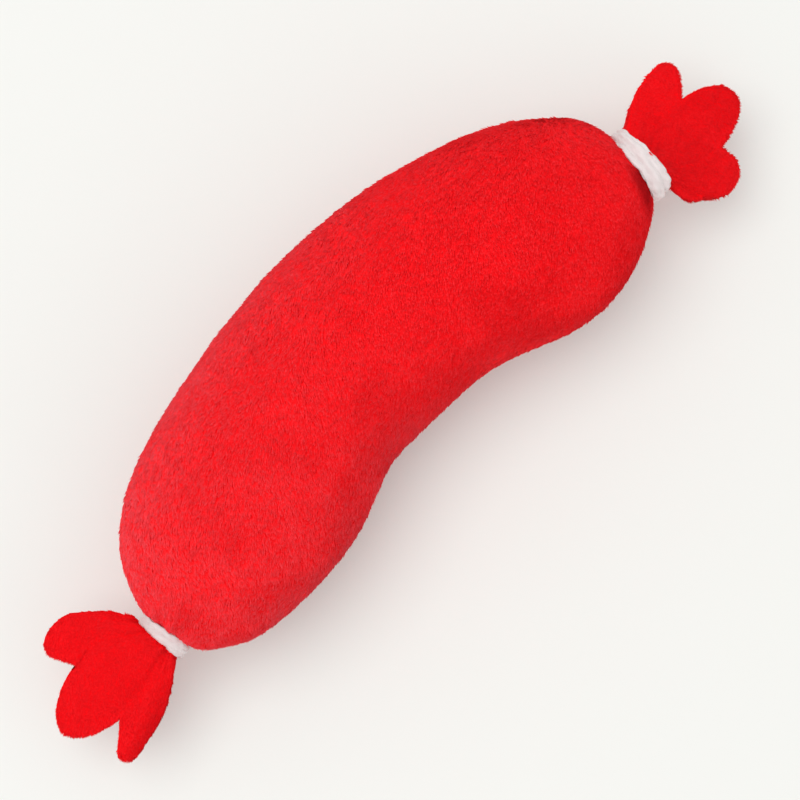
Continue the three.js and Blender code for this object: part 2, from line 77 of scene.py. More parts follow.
LEFT = {"name": "left", "sign": -1, "drop": 16.4, "neck": 5.0, "heading": math.radians(9)}
RIGHT = {"name": "right", "sign": 1, "drop": 18.6, "neck": 7.3, "heading": math.radians(2)}


def smooth(t):
    t = np.clip(t, 0, 1)
    return t * t * (3 - 2 * t)


def mix(a, b, t):
    return a + (b - a) * t


def softly(x, width):
    """x where it is above 0 and 0 below, with a rounded corner."""
    return np.logaddexp(0, x / width) * width


def unit(vectors):
    length = np.linalg.norm(vectors, axis=-1, keepdims=True)
    return vectors / np.maximum(length, 1e-9)


print("between the ties:", 2 * TIE_PLACE, "mm, domes", DOME_LENGTH, "mm long")

# %% [markdown]
# The toy bends like a banana. Its spine is a cosine, so the middle curves and the ends run straight
# into their ties. Each point of the body is placed on a section square to that spine: a little
# wider than high, swelling towards each end and then closing in a dome.

# %% Spine and sections
def by_end(x, key):
    """A size of the end that each x belongs to."""
    return np.where(np.asarray(x) < 0, LEFT[key], RIGHT[key])


def half_width(x):
    s = np.abs(x)
    barrel = mix(MID_HALF_WIDTH, SWELL_HALF_WIDTH, (1 - np.cos(np.pi * s / SWELL_PLACE)) / 2)
    t = np.clip((s - SWELL_PLACE) / DOME_LENGTH, 0, 1)
    dome = np.hypot(SWELL_HALF_WIDTH * np.sqrt(1 - t ** DOME_POWER), by_end(x, "neck") * t)
    return np.where(s <= SWELL_PLACE, barrel, dome)


def seam_height(x):
    along = np.sign(x) * np.minimum(np.abs(x), SWELL_PLACE)
    return half_width(along) * HEIGHT_SHARE - FLOOR_CUT


def spine(x):
    """Centre of the section at x, the direction along the toy and the one out of its side."""
    x = np.atleast_1d(np.asarray(x, float))
    s, sign, drop = np.abs(x), by_end(x, "sign"), by_end(x, "drop")
    rate = BEND_TURN / TIE_PLACE
    bent = np.minimum(s, TIE_PLACE)
    scale = drop / (1 - np.cos(BEND_TURN))
    slope = scale * rate * np.sin(rate * bent)
    turned = smooth((s - TIE_PLACE + GATHER_TURN_LENGTH) / GATHER_TURN_LENGTH)
    angle = mix(np.arctan(slope), by_end(x, "heading"), turned)
    out = np.stack([sign * np.cos(angle), -np.sin(angle), np.zeros_like(x)], -1)
    normal = np.stack([sign * np.sin(angle), np.cos(angle), np.zeros_like(x)], -1)
    centre = np.stack([sign * bent, -scale * (1 - np.cos(rate * bent)), seam_height(x)], -1)
    return centre + out * (s - bent)[:, None], out, normal


print("half widths:", [round(float(half_width(x)), 1) for x in (-DOME_END, 0, SWELL_PLACE, DOME_END)], "mm")

# %% [markdown]
# Every cloth here is a grid of points with rows and columns. A grid is easy to bend, to refine and
# to cut in two, and each point knows where it lies on the cloth. A refined grid has a new point
# half way between each pair, on a smooth curve, which rounds the cloth as a subdivision would.

# %% Helpers for grids of points
def grid_faces(rows, columns, around=False):
    """Quads between neighbouring rows and columns; around joins the last column to the first."""
    i, j = np.meshgrid(np.arange(rows - 1), np.arange(columns - (not around)), indexing="ij")
    k = (j + 1) % columns
    corners = [i * columns + j, i * columns + k, (i + 1) * columns + k, (i + 1) * columns + j]
    return np.stack(corners, -1).reshape(-1, 4)


def grid_normals(grid, around=False):
    """Unit normals of a grid, from the slopes along its rows and columns."""
    down = np.gradient(grid, axis=0)
    if around:
        across = (np.roll(grid, -1, axis=1) - np.roll(grid, 1, axis=1)) / 2
    else:
        across = np.gradient(grid, axis=1)
    return unit(np.cross(across, down))


def refine_axis(grid, axis, around=False):
    """Put a new row half way between each pair, on a smooth curve through four rows."""
    g = np.moveaxis(grid, axis, 0)
    if around:
        before, after = np.roll(g, 1, axis=0), np.roll(g, -1, axis=0)
        beyond = np.roll(g, -2, axis=0)
        middles = (9 * (g + after) - before - beyond) / 16
        fine = np.stack([g, middles], 1).reshape(-1, *g.shape[1:])
    else:
        padded = np.concatenate([2 * g[:1] - g[1:2], g, 2 * g[-1:] - g[-2:-1]])
        middles = (9 * (padded[1:-2] + padded[2:-1]) - padded[:-3] - padded[3:]) / 16
        fine = np.empty((2 * len(g) - 1, *g.shape[1:]))
        fine[0::2], fine[1::2] = g, middles
    return np.moveaxis(fine, 0, axis)


# %% [markdown]
# A grid becomes a mesh by listing its points and faces. Real cloth has a thickness, so a grid also
# becomes a closed shell: the grid itself, a copy one thickness further in, and a rim of faces all
# round. A closed shell's signed volume tells whether its faces point outwards.

# %% Meshes and shells from grids
def add_object(name, mesh):
    piece = bpy.data.objects.new(name, mesh)
    bpy.context.scene.collection.objects.link(piece)
    return piece


def add_mesh(name, points, faces, attributes=None, edges=()):
    """A mesh object from points in millimetres; attributes are named values on its points."""
    mesh = bpy.data.meshes.new(name)
    points = np.reshape(points, (-1, 3)) * METRES
    mesh.from_pydata(points.tolist(), list(edges), [list(f) for f in faces])
    for key, values in (attributes or {}).items():
        kind = "FLOAT_VECTOR" if np.ndim(values) > 1 and np.shape(values)[-1] == 3 else "FLOAT"
        attribute = mesh.attributes.new(key, kind, "POINT")
        field = "vector" if kind == "FLOAT_VECTOR" else "value"
        attribute.data.foreach_set(field, np.ravel(values).astype(np.float32))
    mesh.shade_smooth()
    return add_object(name, mesh)


def shell_of(grid, thickness, out=None):
    """Points and faces of a closed cloth: the grid, a copy one thickness inside, and the rim."""
    rows, columns = grid.shape[:2]
    count = rows * columns
    inner = grid - (grid_normals(grid) if out is None else out) * thickness
    points = np.concatenate([grid.reshape(-1, 3), inner.reshape(-1, 3)])
    outside = grid_faces(rows, columns)
    inside = outside[:, ::-1] + count
    index = np.arange(count).reshape(rows, columns)
    loop = np.concatenate([index[0], index[1:, -1], index[-1, -2::-1], index[-2::-1, 0]])[::-1]
    rim = [[a, b, b + count, a + count] for a, b in zip(loop[:-1], loop[1:])]
    return points, np.concatenate([outside, inside, rim])


def face_outwards(piece):
    """Turn the faces round where the shell's signed volume is negative."""
    mesh = piece.data
    mesh.calc_loop_triangles()
    corners = np.array([t.vertices for t in mesh.loop_triangles])
    points = np.array([v.co for v in mesh.vertices])
    a, b, c = (points[corners[:, i]] for i in range(3))
    if (a * np.cross(b, c)).sum() < 0:
        mesh.flip_normals()
    return piece


# %% [markdown]
# The camera looks down on the toy from in front and to one side, as one does when it lies on a
# table. A long lens keeps the two ends at one scale.

# %% Camera
VIEW_CENTRE = Vector((-1, -17.3, 25)) * METRES
VIEW_TURN = math.radians(-45.7)
VIEW_TILT = math.radians(84)
VIEW_WIDTH = 193.4 * METRES
LENS = 100
SENSOR = 36
NEAREST_SEEN = 10 * METRES

camera = add_object("camera", bpy.data.cameras.new("camera"))
camera.data.lens = LENS
camera.data.sensor_width = SENSOR
camera.data.clip_start = NEAREST_SEEN
camera.rotation_euler = (math.pi / 2 - VIEW_TILT, 0, VIEW_TURN)
toward = Vector((-math.sin(VIEW_TURN), math.cos(VIEW_TURN), 0)) * math.cos(VIEW_TILT)
toward.z = -math.sin(VIEW_TILT)
camera.location = VIEW_CENTRE - toward * (VIEW_WIDTH * LENS / SENSOR)
bpy.context.scene.camera = camera
print("camera at", [round(c, 3) for c in camera.location])

# %% [markdown]
# A finish is a tree of nodes. To keep the maths readable, a small class wraps a socket, and Python's
# own operators add the Math nodes. Everything else comes from one method, which takes the kind of
# node, its settings and what its sockets get.

# %% A small language for node trees
class Wire:
    """One output in a node tree. Python maths on it adds Math nodes."""

    def __init__(self, graph, node, socket):
        self.graph, self.node, self.socket = graph, node, socket

    def __getitem__(self, key):
        return Wire(self.graph, self.node, self.graph.find(self.node.outputs, key))

    def maths(self, operation, other=None, swapped=False):
        a, b = (other, self) if swapped else (self, other)
        return self.graph.add("ShaderNodeMath", {"operation": operation}, {0: a, 1: b})

    def __add__(self, other):
        return self.maths("ADD", other)

    def __sub__(self, other):
        return self.maths("SUBTRACT", other)

    def __rsub__(self, other):
        return self.maths("SUBTRACT", other, swapped=True)

    def __mul__(self, other):
        return self.maths("MULTIPLY", other)

    __radd__ = __add__
    __rmul__ = __mul__


class Graph:
    """A node tree that is written as expressions."""

    def __init__(self, tree):
        self.tree = tree

    def find(self, sockets, key):
        if isinstance(key, int):
            return sockets[key]
        usable = [s for s in sockets if s.enabled]
        named = [s for s in usable if s.identifier == key] + [s for s in usable if s.name == key]
        return named[0]

    def add(self, kind, settings=None, sockets=None, out=0):
        """Add a node. Settings come first, because they decide which sockets it has."""
        node = self.tree.nodes.new(kind)
        for key, value in (settings or {}).items():
            setattr(node, key, value)
        for key, value in (sockets or {}).items():
            if value is None:
                continue
            socket = self.find(node.inputs, key)
            if isinstance(value, Wire):
                self.tree.links.new(value.socket, socket)
            else:
                socket.default_value = value
        return Wire(self, node, self.find(node.outputs, out)) if node.outputs else node

    def mix_colour(self, factor, a, b):
        sockets = {"Factor_Float": factor, "A_Color": a, "B_Color": b}
        return self.add("ShaderNodeMix", {"data_type": "RGBA"}, sockets, "Result_Color")

    def ranged(self, value, limits, low, high):
        """Low at the first limit of the value, high at the second, and even in between."""
        sockets = {"Value": value, "From Min": limits[0], "From Max": limits[1],
                   "To Min": low, "To Max": high}
        return self.add("ShaderNodeMapRange", {}, sockets, "Result")

    def attribute(self, name):
        return self.add("ShaderNodeAttribute", {"attribute_name": name}, {}, "Fac")

    def noise(self, place, scale, detail=2.0, out="Fac"):
        sockets = {"Vector": place, "Scale": scale, "Detail": detail}
        return self.add("ShaderNodeTexNoise", {}, sockets, out)

    def scaled(self, place, size):
        return self.add("ShaderNodeMapping", {}, {"Vector": place, "Scale": size})

    def bump(self, height, strength, distance):
        sockets = {"Height": height, "Strength": strength, "Distance": distance}
        return self.add("ShaderNodeBump", {}, sockets, "Normal")


# %% [markdown]
# Each finish starts from the same few nodes: a principled shader, the material's output and the
# object's own coordinates. Colours are given as a screen shows them and turned into linear light.

# %% Colours and the start of a finish
def colour(red, green, blue):
    """A linear colour from the red, green and blue that a screen shows, each up to 255."""
    def linear(c):
        c = c / 255
        return c / 12.92 if c <= 0.04045 else ((c + 0.055) / 1.055) ** 2.4
    return (linear(red), linear(green), linear(blue), 1)


def new_finish(name, constants=None):
    """A material with one principled shader. Constants are the sockets that don't vary."""
    material = bpy.data.materials.new(name)
    material.use_nodes = True
    material.node_tree.nodes.clear()
    graph = Graph(material.node_tree)
    shader = graph.add("ShaderNodeBsdfPrincipled", {}, constants or {}, "BSDF")
    graph.add("ShaderNodeOutputMaterial", {}, {"Surface": shader})
    place = graph.add("ShaderNodeTexCoord", {}, {}, "Object")
    return material, graph, shader.node, place


def feed(graph, shader, **sockets):
    """Link what varies into the shader's sockets: Base_Color feeds Base Color."""
    for key, value in sockets.items():
        graph.tree.links.new(value.socket, graph.find(shader.inputs, key.replace("_", " ")))


# %% [markdown]
# Plush is a knitted backing with cut pile standing out of it. Its dye is even, and light sinks
# between the fibres, so the colour hardly changes along a strand and most shadows come from the
# strands themselves. On top of that the finish paints shade: dark specks between tufts, a fold
# beside the right tie, and the part of a frill turned from the light. The sheen of many tips gives
# a pinkish rim, and painted sheen and light make the pile paler on the toy's sides, on its outer
# side and towards its left end. The strands carry their own shade, and slow noise makes paler
# patches where the pile was handled.

# %% Plush finishes
PILE_ROOT = colour(252, 3, 14)
PILE_TIP = colour(255, 8, 17)
PILE_PALE = colour(255, 84, 94)
# The darker red of painted shade between tufts
TUFT_SHADE_RED = colour(196, 0, 12)
FRILL_TIP = colour(255, 1, 10)
# The darker red of painted shade in a fold and where a frill turns from the light
PAINTED_SHADE_RED = colour(172, 0, 8)
BACKING_RED = colour(253, 6, 18)

PLUSH_SHEEN = {
    "Specular IOR Level": 0.12,
    "Sheen Roughness": 0.35,
    "Sheen Tint": colour(255, 120, 128),
}
# Noise scales, and the noise between which a tuft turns from painted shade to plain and from plain to pale
PATCH_SCALE = 140
TUFT_SCALE = 1900
KNIT_SCALE = 900
SHADED_TUFTS = (0.38, 0.6)
PALE_TUFTS = (0.48, 0.66)
TUFT_SHADE_DEPTH = 0.26
# Share of pale on a strand and in a patch: the least, and how much its own shade or noise adds
PALE_STRANDS = (0.28, 0.44)
PALE_PATCHES = (0.1, 0.5)
# The painted shade between tufts fades where the painted sheen and light reach this far, but not below the
# second value
TUFT_SHADE_GONE, TUFT_SHADE_LEAST = 1.1, 0.12


def plush_finish(name, sheen, tip, tuft_pale):
    """Cut pile: the strand's own shade, painted sheen and light, handled patches, and painted shade between
    tufts and in folds.
    """
    material, g, shader, place = new_finish(name, {"Sheen Weight": sheen, **PLUSH_SHEEN})
    along, shade, painted_sheen_and_brushed, painted_shade = [
        g.attribute(key) for key in ("strand_along", "strand_shade", "painted_sheen_and_brushed", "painted_shade")]
    patches = g.noise(place, PATCH_SCALE, 3.0)
    tufts = g.noise(place, TUFT_SCALE, 1.0)
    # Painted shade between tufts, where the tuft noise is low
    tuft_shade = g.ranged(tufts, SHADED_TUFTS, TUFT_SHADE_DEPTH, 0.0)
    pale_tufts = g.ranged(tufts, PALE_TUFTS, 0.0, tuft_pale)
    pale_strand = PALE_STRANDS[0] + shade * PALE_STRANDS[1]
    pale_patch = PALE_PATCHES[0] + patches * PALE_PATCHES[1]
    pale_share = pale_strand * painted_sheen_and_brushed * pale_patch + pale_tufts
    pale = g.mix_colour(pale_share * along, g.mix_colour(along, PILE_ROOT, tip), PILE_PALE)
    # The painted shade between tufts fades where the painted sheen and light are strong; the painted shade
    # of folds goes over all
    flat = (TUFT_SHADE_GONE - painted_sheen_and_brushed).maths("MAXIMUM", TUFT_SHADE_LEAST)
    red = g.mix_colour(painted_shade, g.mix_colour(tuft_shade * flat, pale, TUFT_SHADE_RED), PAINTED_SHADE_RED)
    feed(g, shader, Base_Color=red, Roughness=0.75 + shade * 0.15)
    return material


pile_finish = plush_finish("plush_pile", sheen=0.85, tip=PILE_TIP, tuft_pale=0.3)
frill_pile_finish = plush_finish("plush_pile_flat", sheen=0.05, tip=FRILL_TIP, tuft_pale=0.07)

backing_finish, g, shader, place = new_finish("plush_backing", {"Specular IOR Level": 0.1})
knit = g.noise(place, KNIT_SCALE)
red = g.mix_colour(knit, BACKING_RED, PILE_ROOT)
feed(g, shader, Base_Color=red, Roughness=0.8 + knit * 0.1, Normal=g.bump(knit, 0.5, 0.4 * METRES))
print("plush finishes:", pile_finish.name, backing_finish.name)

# %% [markdown]
# The ribbon is thin white satin. Its threads run along the ribbon with a fine cross rib, so the
# weave follows the ribbon's own map: U runs across it and V along it, in millimetres.

# %% Ribbon, thread and stuffing finishes
# RIBBON_CREASE_SHADE is painted shade in the creases, tinted pink as a painted reflection of the red plush
RIBBON_WHITE = colour(250, 240, 238)
RIBBON_CREASE_SHADE = colour(230, 218, 218)
RIB_ACROSS = 1.6
RIB_ALONG = 2.2
CREASE_SCALE = 2.4
CREASE_STRETCH = (0.5, 0.25, 1)

ribbon_finish, g, shader, place = new_finish("satin_ribbon", {
    "Specular IOR Level": 0.4,
    "Sheen Weight": 0.2,
    "Sheen Roughness": 0.4,
})
cloth_map = g.add("ShaderNodeUVMap", {"uv_map": "cloth"}, {}, "UV")
across_rib, along_rib = [
    g.add("ShaderNodeTexWave", {"bands_direction": way}, {"Vector": cloth_map, "Scale": scale}, "Fac")
    for way, scale in (("Y", RIB_ACROSS), ("X", RIB_ALONG))]
weave = across_rib * 0.6 + along_rib * 0.4
crease = g.noise(g.scaled(cloth_map, CREASE_STRETCH), CREASE_SCALE, 3.0)
# Painted shade and reflection in the creases; the weave lightens it a little
white = g.mix_colour(crease * 0.7 + weave * 0.15, RIBBON_CREASE_SHADE, RIBBON_WHITE)
feed(g, shader, Base_Color=white, Roughness=0.36 + weave * 0.18,
     Normal=g.bump(weave * 0.25 + crease, 0.6, 0.3 * METRES))


def plain_cloth_finish(name, dark, light, scale, roughness, height, constants=None):
    """A finish whose colour, roughness and relief all follow one noise."""
    material, g, shader, place = new_finish(name, constants)
    grain = g.noise(place, scale, 4.0)
    feed(g, shader, Base_Color=g.mix_colour(grain, colour(*dark), colour(*light)),
         Roughness=roughness + grain * 0.15, Normal=g.bump(grain, 0.7, height * METRES))
    return material


thread_finish, red_thread_finish = [
    plain_cloth_finish(name, dark, light, scale=2600, roughness=0.6, height=0.1)
    for name, dark, light in (("cotton_thread", (214, 150, 150), (240, 196, 196)),
                              ("red_thread", (150, 6, 18), (196, 14, 28)))]
fibre_finish = plain_cloth_finish("polyester_fibre", (226, 224, 218), (250, 249, 246), scale=700,
                                  roughness=0.8, height=0.8, constants={"Sheen Weight": 0.3})
print("cloth finishes:", ribbon_finish.name, thread_finish.name, red_thread_finish.name, fibre_finish.name)

# %% [markdown]
# Pile and stitches are one small shape many times over, so Geometry Nodes make them. Both trees set
# the shape on points, turn and size it there, and end in real faces with one finish. These short
# helpers are what the two have in common.

# %% What both trees are built from
def new_modifier_tree(name, inputs):
    """A Geometry Nodes tree whose named inputs are (name, socket type, default)."""
    tree = bpy.data.node_groups.new(name, "GeometryNodeTree")
    tree.interface.new_socket("Geometry", in_out="INPUT", socket_type="NodeSocketGeometry")
    tree.interface.new_socket("Geometry", in_out="OUTPUT", socket_type="NodeSocketGeometry")
    for label, kind, default in inputs:
        socket = tree.interface.new_socket(label, in_out="INPUT", socket_type=kind)
        if default is not None:
            socket.default_value = default
    return tree, Graph(tree)


def vector_sum(g, *vectors):
    total = vectors[0]
    for vector in vectors[1:]:
        total = g.add("ShaderNodeVectorMath", {"operation": "ADD"}, {0: total, 1: vector})
    return total


def vector_times(g, vector, scale):
    return g.add("ShaderNodeVectorMath", {"operation": "SCALE"}, {0: vector, "Scale": scale})


def random_between(g, low, high, seed):
    kind = "FLOAT_VECTOR" if isinstance(low, tuple) else "FLOAT"
    sockets = {"Min": low, "Max": high, "Seed": seed}
    return g.add("FunctionNodeRandomValue", {"data_type": kind}, sockets, "Value")


def random_vector(g, size, seed):
    return random_between(g, (-size,) * 3, (size,) * 3, seed)


def stored(g, geometry, name, value, kind="FLOAT"):
    return g.add("GeometryNodeStoreNamedAttribute", {"data_type": kind, "domain": "POINT"},
                 {"Geometry": geometry, "Name": name, "Value": value})


def named(g, name, kind="FLOAT"):
    return g.add("GeometryNodeInputNamedAttribute", {"data_type": kind}, {"Name": name}, "Attribute")


def repeated(g, points, shape, turned, size):
    """The shape on every point, as real faces that are shaded smooth."""
    placed = g.add("GeometryNodeInstanceOnPoints", {}, {
        "Points": points, "Instance": shape, "Rotation": turned, "Scale": size,
    })
    real = g.add("GeometryNodeRealizeInstances", {}, {"Geometry": placed})
    return g.add("GeometryNodeSetShadeSmooth", {}, {"Geometry": real})


def end_tree(g, geometry, finish):
    done = g.add("GeometryNodeSetMaterial", {}, {"Geometry": geometry, "Material": finish})
    g.add("NodeGroupOutput", {}, {"Geometry": done})


# %% [markdown]
# For cut pile the tree scatters points over a cloth, and on each one stands a strand: a slim
# three-sided spike, closed at its foot, because strands that are counted in hundreds of thousands
# need as few faces as they can have. Each strand leans along the cloth's nap, and takes part of
# its shading from the cloth under it, which keeps the surface soft.

# %% Tree that grows cut pile
STRAND_LENGTH = 1.65
STRAND_THICKNESS = 0.22
STRAND_LEAN = math.radians(9)
STRAND_CORNERS = 4
PILE_DENSITY = 11.0  # strands a square millimetre
# The least and the most that a strand's lean, thickness and length are multiplied by
LEAN_SPREAD = (0.6, 1.5)
THICKNESS_SPREAD = (0.75, 1.3)
LENGTH_SPREAD = (0.65, 1.15)
TUFT_SIZE = 1.5
TUFT_LEAN = 0.85
STRAY = 0.14
CLOTH_SHARE = 2.6  # how far a strand is shaded as the cloth under it is
SKY_SHARE = 1.7  # and how far as if it faced up, since light scatters between the fibres


def build_pile_tree():
    tree, g = new_modifier_tree("cut_pile", [
        ("Density", "NodeSocketFloat", PILE_DENSITY / METRES ** 2),
        ("Length", "NodeSocketFloat", STRAND_LENGTH * METRES),
        ("Thickness", "NodeSocketFloat", STRAND_THICKNESS * METRES),
        ("Lean", "NodeSocketFloat", STRAND_LEAN),
        ("Seed", "NodeSocketInt", 1),
        ("Finish", "NodeSocketMaterial", None),
    ])
    given = g.add("NodeGroupInput")
    cover, lift = named(g, "pile_cover"), named(g, "pile_lift")
    points = g.add("GeometryNodeDistributePointsOnFaces", {}, {
        "Mesh": given["Geometry"], "Density": given["Density"] * cover, "Seed": given["Seed"],
    }, "Points")
    normal = points["Normal"]
    with_shade = stored(g, points, "strand_shade", random_between(g, 0.0, 1.0, seed=11))
    with_normal = stored(g, with_shade, "cloth_normal", normal, "FLOAT_VECTOR")
    lean = given["Lean"] * lift * random_between(g, *LEAN_SPREAD, seed=12)
    lying = vector_times(g, named(g, "nap", "FLOAT_VECTOR"), lean.maths("COSINE"))
    standing = vector_times(g, normal, lean.maths("SINE"))
    stray = random_vector(g, STRAY, seed=13)
    tuft = g.noise(g.add("GeometryNodeInputPosition"), 1 / (TUFT_SIZE * METRES), 1.0, "Color")
    tuft_lean = vector_times(g, vector_sum(g, tuft, (-0.5, -0.5, -0.5)), TUFT_LEAN)
    heading = vector_sum(g, vector_sum(g, lying, standing), vector_sum(g, stray, tuft_lean))
    turned = g.add("FunctionNodeAlignRotationToVector", {"axis": "Z"}, {"Vector": heading})
    thick = given["Thickness"] * random_between(g, *THICKNESS_SPREAD, seed=14)
    long = given["Length"] * random_between(g, *LENGTH_SPREAD, seed=15)
    size = g.add("ShaderNodeCombineXYZ", {}, {0: thick, 1: thick, 2: long})
    spike = g.add("GeometryNodeMeshCone", {}, {
        "Vertices": 3, "Radius Top": 0.0, "Radius Bottom": 1.0, "Depth": 1.0,
    }, "Mesh")
    height = g.add("ShaderNodeSeparateXYZ", {}, {0: g.add("GeometryNodeInputPosition")}, "Z")
    strand = stored(g, spike, "strand_along", height)
    standing_pile = repeated(g, with_normal, strand, turned, size)
    of_cloth = vector_times(g, named(g, "cloth_normal", "FLOAT_VECTOR"), CLOTH_SHARE)
    soft = vector_sum(g, of_cloth, (0.0, 0.0, SKY_SHARE), g.add("GeometryNodeInputNormal"))
    normal = g.add("ShaderNodeVectorMath", {"operation": "NORMALIZE"}, {0: soft})
    shaded = g.add("GeometryNodeSetMeshNormal", {"mode": "FREE", "domain": "POINT"}, {
        "Mesh": standing_pile, "Custom Normal": normal,
    })
    end_tree(g, shaded, given["Finish"])
    return tree


pile_tree = build_pile_tree()
print("pile tree:", len(pile_tree.nodes), "nodes")

# %% [markdown]
# A tree works as a modifier on an emitter, which is the cloth or the path it follows. Its result is
# copied into a plain mesh and the emitter is thrown away. Each strand then gets a cell of its own
# on a map, so that it can be painted without touching its neighbours.

# %% Use a tree and keep its result as a plain mesh
CELL_CORNERS = np.array([[0.1, 0.1], [0.9, 0.1], [0.5, 0.3], [0.5, 0.9]])


def evaluated_mesh(piece):
    """The mesh of a piece with its modifiers applied, as a plain mesh of its own."""
    depsgraph = bpy.context.evaluated_depsgraph_get()
    return bpy.data.meshes.new_from_object(piece.evaluated_get(depsgraph), depsgraph=depsgraph)


def grow(name, emitter, tree, values):
    """Run a tree on an emitter and return the result as a new plain piece."""
    modifier = emitter.modifiers.new("grow", "NODES")
    modifier.node_group = tree
    for item in tree.interface.items_tree:
        if item.item_type == "SOCKET" and item.in_out == "INPUT" and item.name in values:
            modifier[item.identifier] = values[item.name]
    bpy.context.view_layer.update()
    mesh = evaluated_mesh(emitter)
    bpy.data.objects.remove(emitter)
    mesh.name = name
    return add_object(name, mesh)


def map_points(piece, name, places):
    """A map of the piece that gives each of its points one place."""
    mesh = piece.data
    loops = np.empty(len(mesh.loops), np.int32)
    mesh.loops.foreach_get("vertex_index", loops)
    layer = mesh.uv_layers.new(name=name)
    layer.data.foreach_set("uv", places[loops].astype(np.float32).ravel())


def give_cells(piece):
    """Lay the strands side by side in a square of cells."""
    count = len(piece.data.vertices) // STRAND_CORNERS
    side = math.ceil(math.sqrt(count))
    cell = np.arange(count)
    origin = np.stack([cell % side, cell // side], -1)
    places = (origin[:, None] + CELL_CORNERS[None]) / side
    map_points(piece, "OFBake", places.reshape(-1, 2))


def grow_pile(name, points, faces, attributes, seed, length=STRAND_LENGTH, lean=STRAND_LEAN,
              finish=pile_finish):
    """Pile on one cloth, as one piece."""
    flat = {key: value.reshape(-1, *value.shape[2:]) for key, value in attributes.items()}
    emitter = add_mesh("emitter", points, faces, flat)
    values = {"Length": length * METRES, "Lean": lean, "Seed": seed, "Finish": finish}
    piece = grow(name, emitter, pile_tree, values)
    give_cells(piece)
    print(name, len(piece.data.polygons), "faces")
    return piece


# %% [markdown]
# The body is one tube of cloth, pulled tight over its stuffing. We lay it out on the sections of
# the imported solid, a little inside its surface, because the pile stands out from the cloth by
# that much. Gathers run up each end from the tie.

# %% The body's cloth before it is filled
PILE_DEPTH = 1.0
BARREL_RINGS = 18
DOME_RINGS = 18
NECK_RINGS = 2
PANEL_STEPS = 36
GATHERS = 11
GATHER_DEPTH = 0.7
GATHER_REACH = 13
SEAM_DIP = 0.8
SEAM_DIP_WIDTH = 2.2
SEAM_DIP_MOST = 0.08  # of the half width
# Where the stuffing presses out: place along the toy, degrees round it, height, reach along
BULGES = [
    (75, 0, 2.6, 6),
    (58, 180, 2.3, 18),
    (8, 0, 2.5, 32),
    (4, 180, 2.7, 20),
    (-36, 180, 2.5, 16),
    (-75, 180, 2.2, 8),
    (-75, 0, 0.9, 8),
]
BULGE_ROUND = 0.8  # radians
# How far the end rounds out over the ribbon, on the outer and on the inner side of the bend
LEFT["shoulder_outer"], LEFT["shoulder_inner"] = 0.7, 0.9
RIGHT["shoulder_outer"], RIGHT["shoulder_inner"] = 0.8, 0.2
SHOULDER_REACH = 2.2
SHOULDER_PLACE = DOME_END - 1.2


def turns(columns):
    """Angle round the toy of each column, from the outer seam over the top."""
    return 2 * np.pi * np.arange(columns) / columns


def body_stations():
    barrel = SWELL_PLACE * np.arange(1, BARREL_RINGS + 1) / BARREL_RINGS
    dome = SWELL_PLACE + DOME_LENGTH * np.sin(np.pi / 2 * np.arange(1, DOME_RINGS + 1) / DOME_RINGS)
    neck = mix(DOME_END, TIE_PLACE, np.arange(1, NECK_RINGS + 1) / NECK_RINGS)
    half = np.concatenate([barrel, dome, neck])
    return np.concatenate([-half[::-1], [0], half])


def body_grid(inset):
    """Rows along the toy, columns round it from the outer seam over the top and back under."""
    x = body_stations()
    turn = turns(2 * PANEL_STEPS)
    sign = np.sign(x)[:, None]
    a = half_width(x)[:, None]
    b = a * HEIGHT_SHARE
    from_seam = a * np.sin(turn)[None] / SEAM_DIP_WIDTH
    dip = np.minimum(SEAM_DIP, a * SEAM_DIP_MOST) * np.exp(-from_seam ** 2)
    gathered = smooth((np.abs(x) - DOME_END + GATHER_REACH) / GATHER_REACH)[:, None]
    wander = 0.6 * np.sin(3 * turn + x[:, None] / 9) + 0.5 * np.sin(5 * turn + 2 * sign)
    gather = gathered ** 2 * GATHER_DEPTH * np.cos(GATHERS * turn[None] + wander)
    gather = gather * (0.55 + 0.45 * np.sin(2 * turn[None] + sign))
    pressed = gather - inset
    for place, angle, height, reach in BULGES:
        off = np.angle(np.exp(1j * (turn - math.radians(angle))))[None] / BULGE_ROUND
        pressed = pressed + height * np.exp(-((x[:, None] - place) / reach) ** 2 - off ** 2)
    wide = (a - dip + pressed) * np.cos(turn)
    high = (b + pressed) * np.sin(turn)
    centre, out, normal = spine(x)
    shoulder = by_end(x, "shoulder_outer")[:, None] * (1 + np.cos(turn)) / 2
    shoulder = shoulder + by_end(x, "shoulder_inner")[:, None] * (1 - np.cos(turn)) / 2
    pushed = shoulder * np.exp(-((np.abs(x)[:, None] - SHOULDER_PLACE) / SHOULDER_REACH) ** 2)
    grid = centre[:, None] + normal[:, None] * wide[..., None] + out[:, None] * pushed[..., None]
    grid[..., 2] += high
    return grid


print("body laid out in", len(body_stations()), "rows of", 2 * PANEL_STEPS, "points")

# %% [markdown]
# Filling the toy is a cloth simulation: the tube starts slightly small, pressure from within blows
# it up a little rounder, and the tied necks are held still. Blender's cloth is tuned for things the
# size of a garment, so the tube is simulated at ten times its size. A point's move is capped.

# %% Fill the body
SIM_SCALE = 10
SIM_SHRINK = 0.12
MOVE_CAP = 5
SIM_FRAMES = 20
HELD_LENGTH = 3
CLOTH_SETTINGS = {
    "quality": 6, "mass": 0.08, "air_damping": 2,
    "tension_stiffness": 12, "compression_stiffness": 12,
    "shear_stiffness": 4, "bending_stiffness": 0.6,
    "use_pressure": True, "uniform_pressure_force": 4,
    "vertex_group_mass": "held",
}


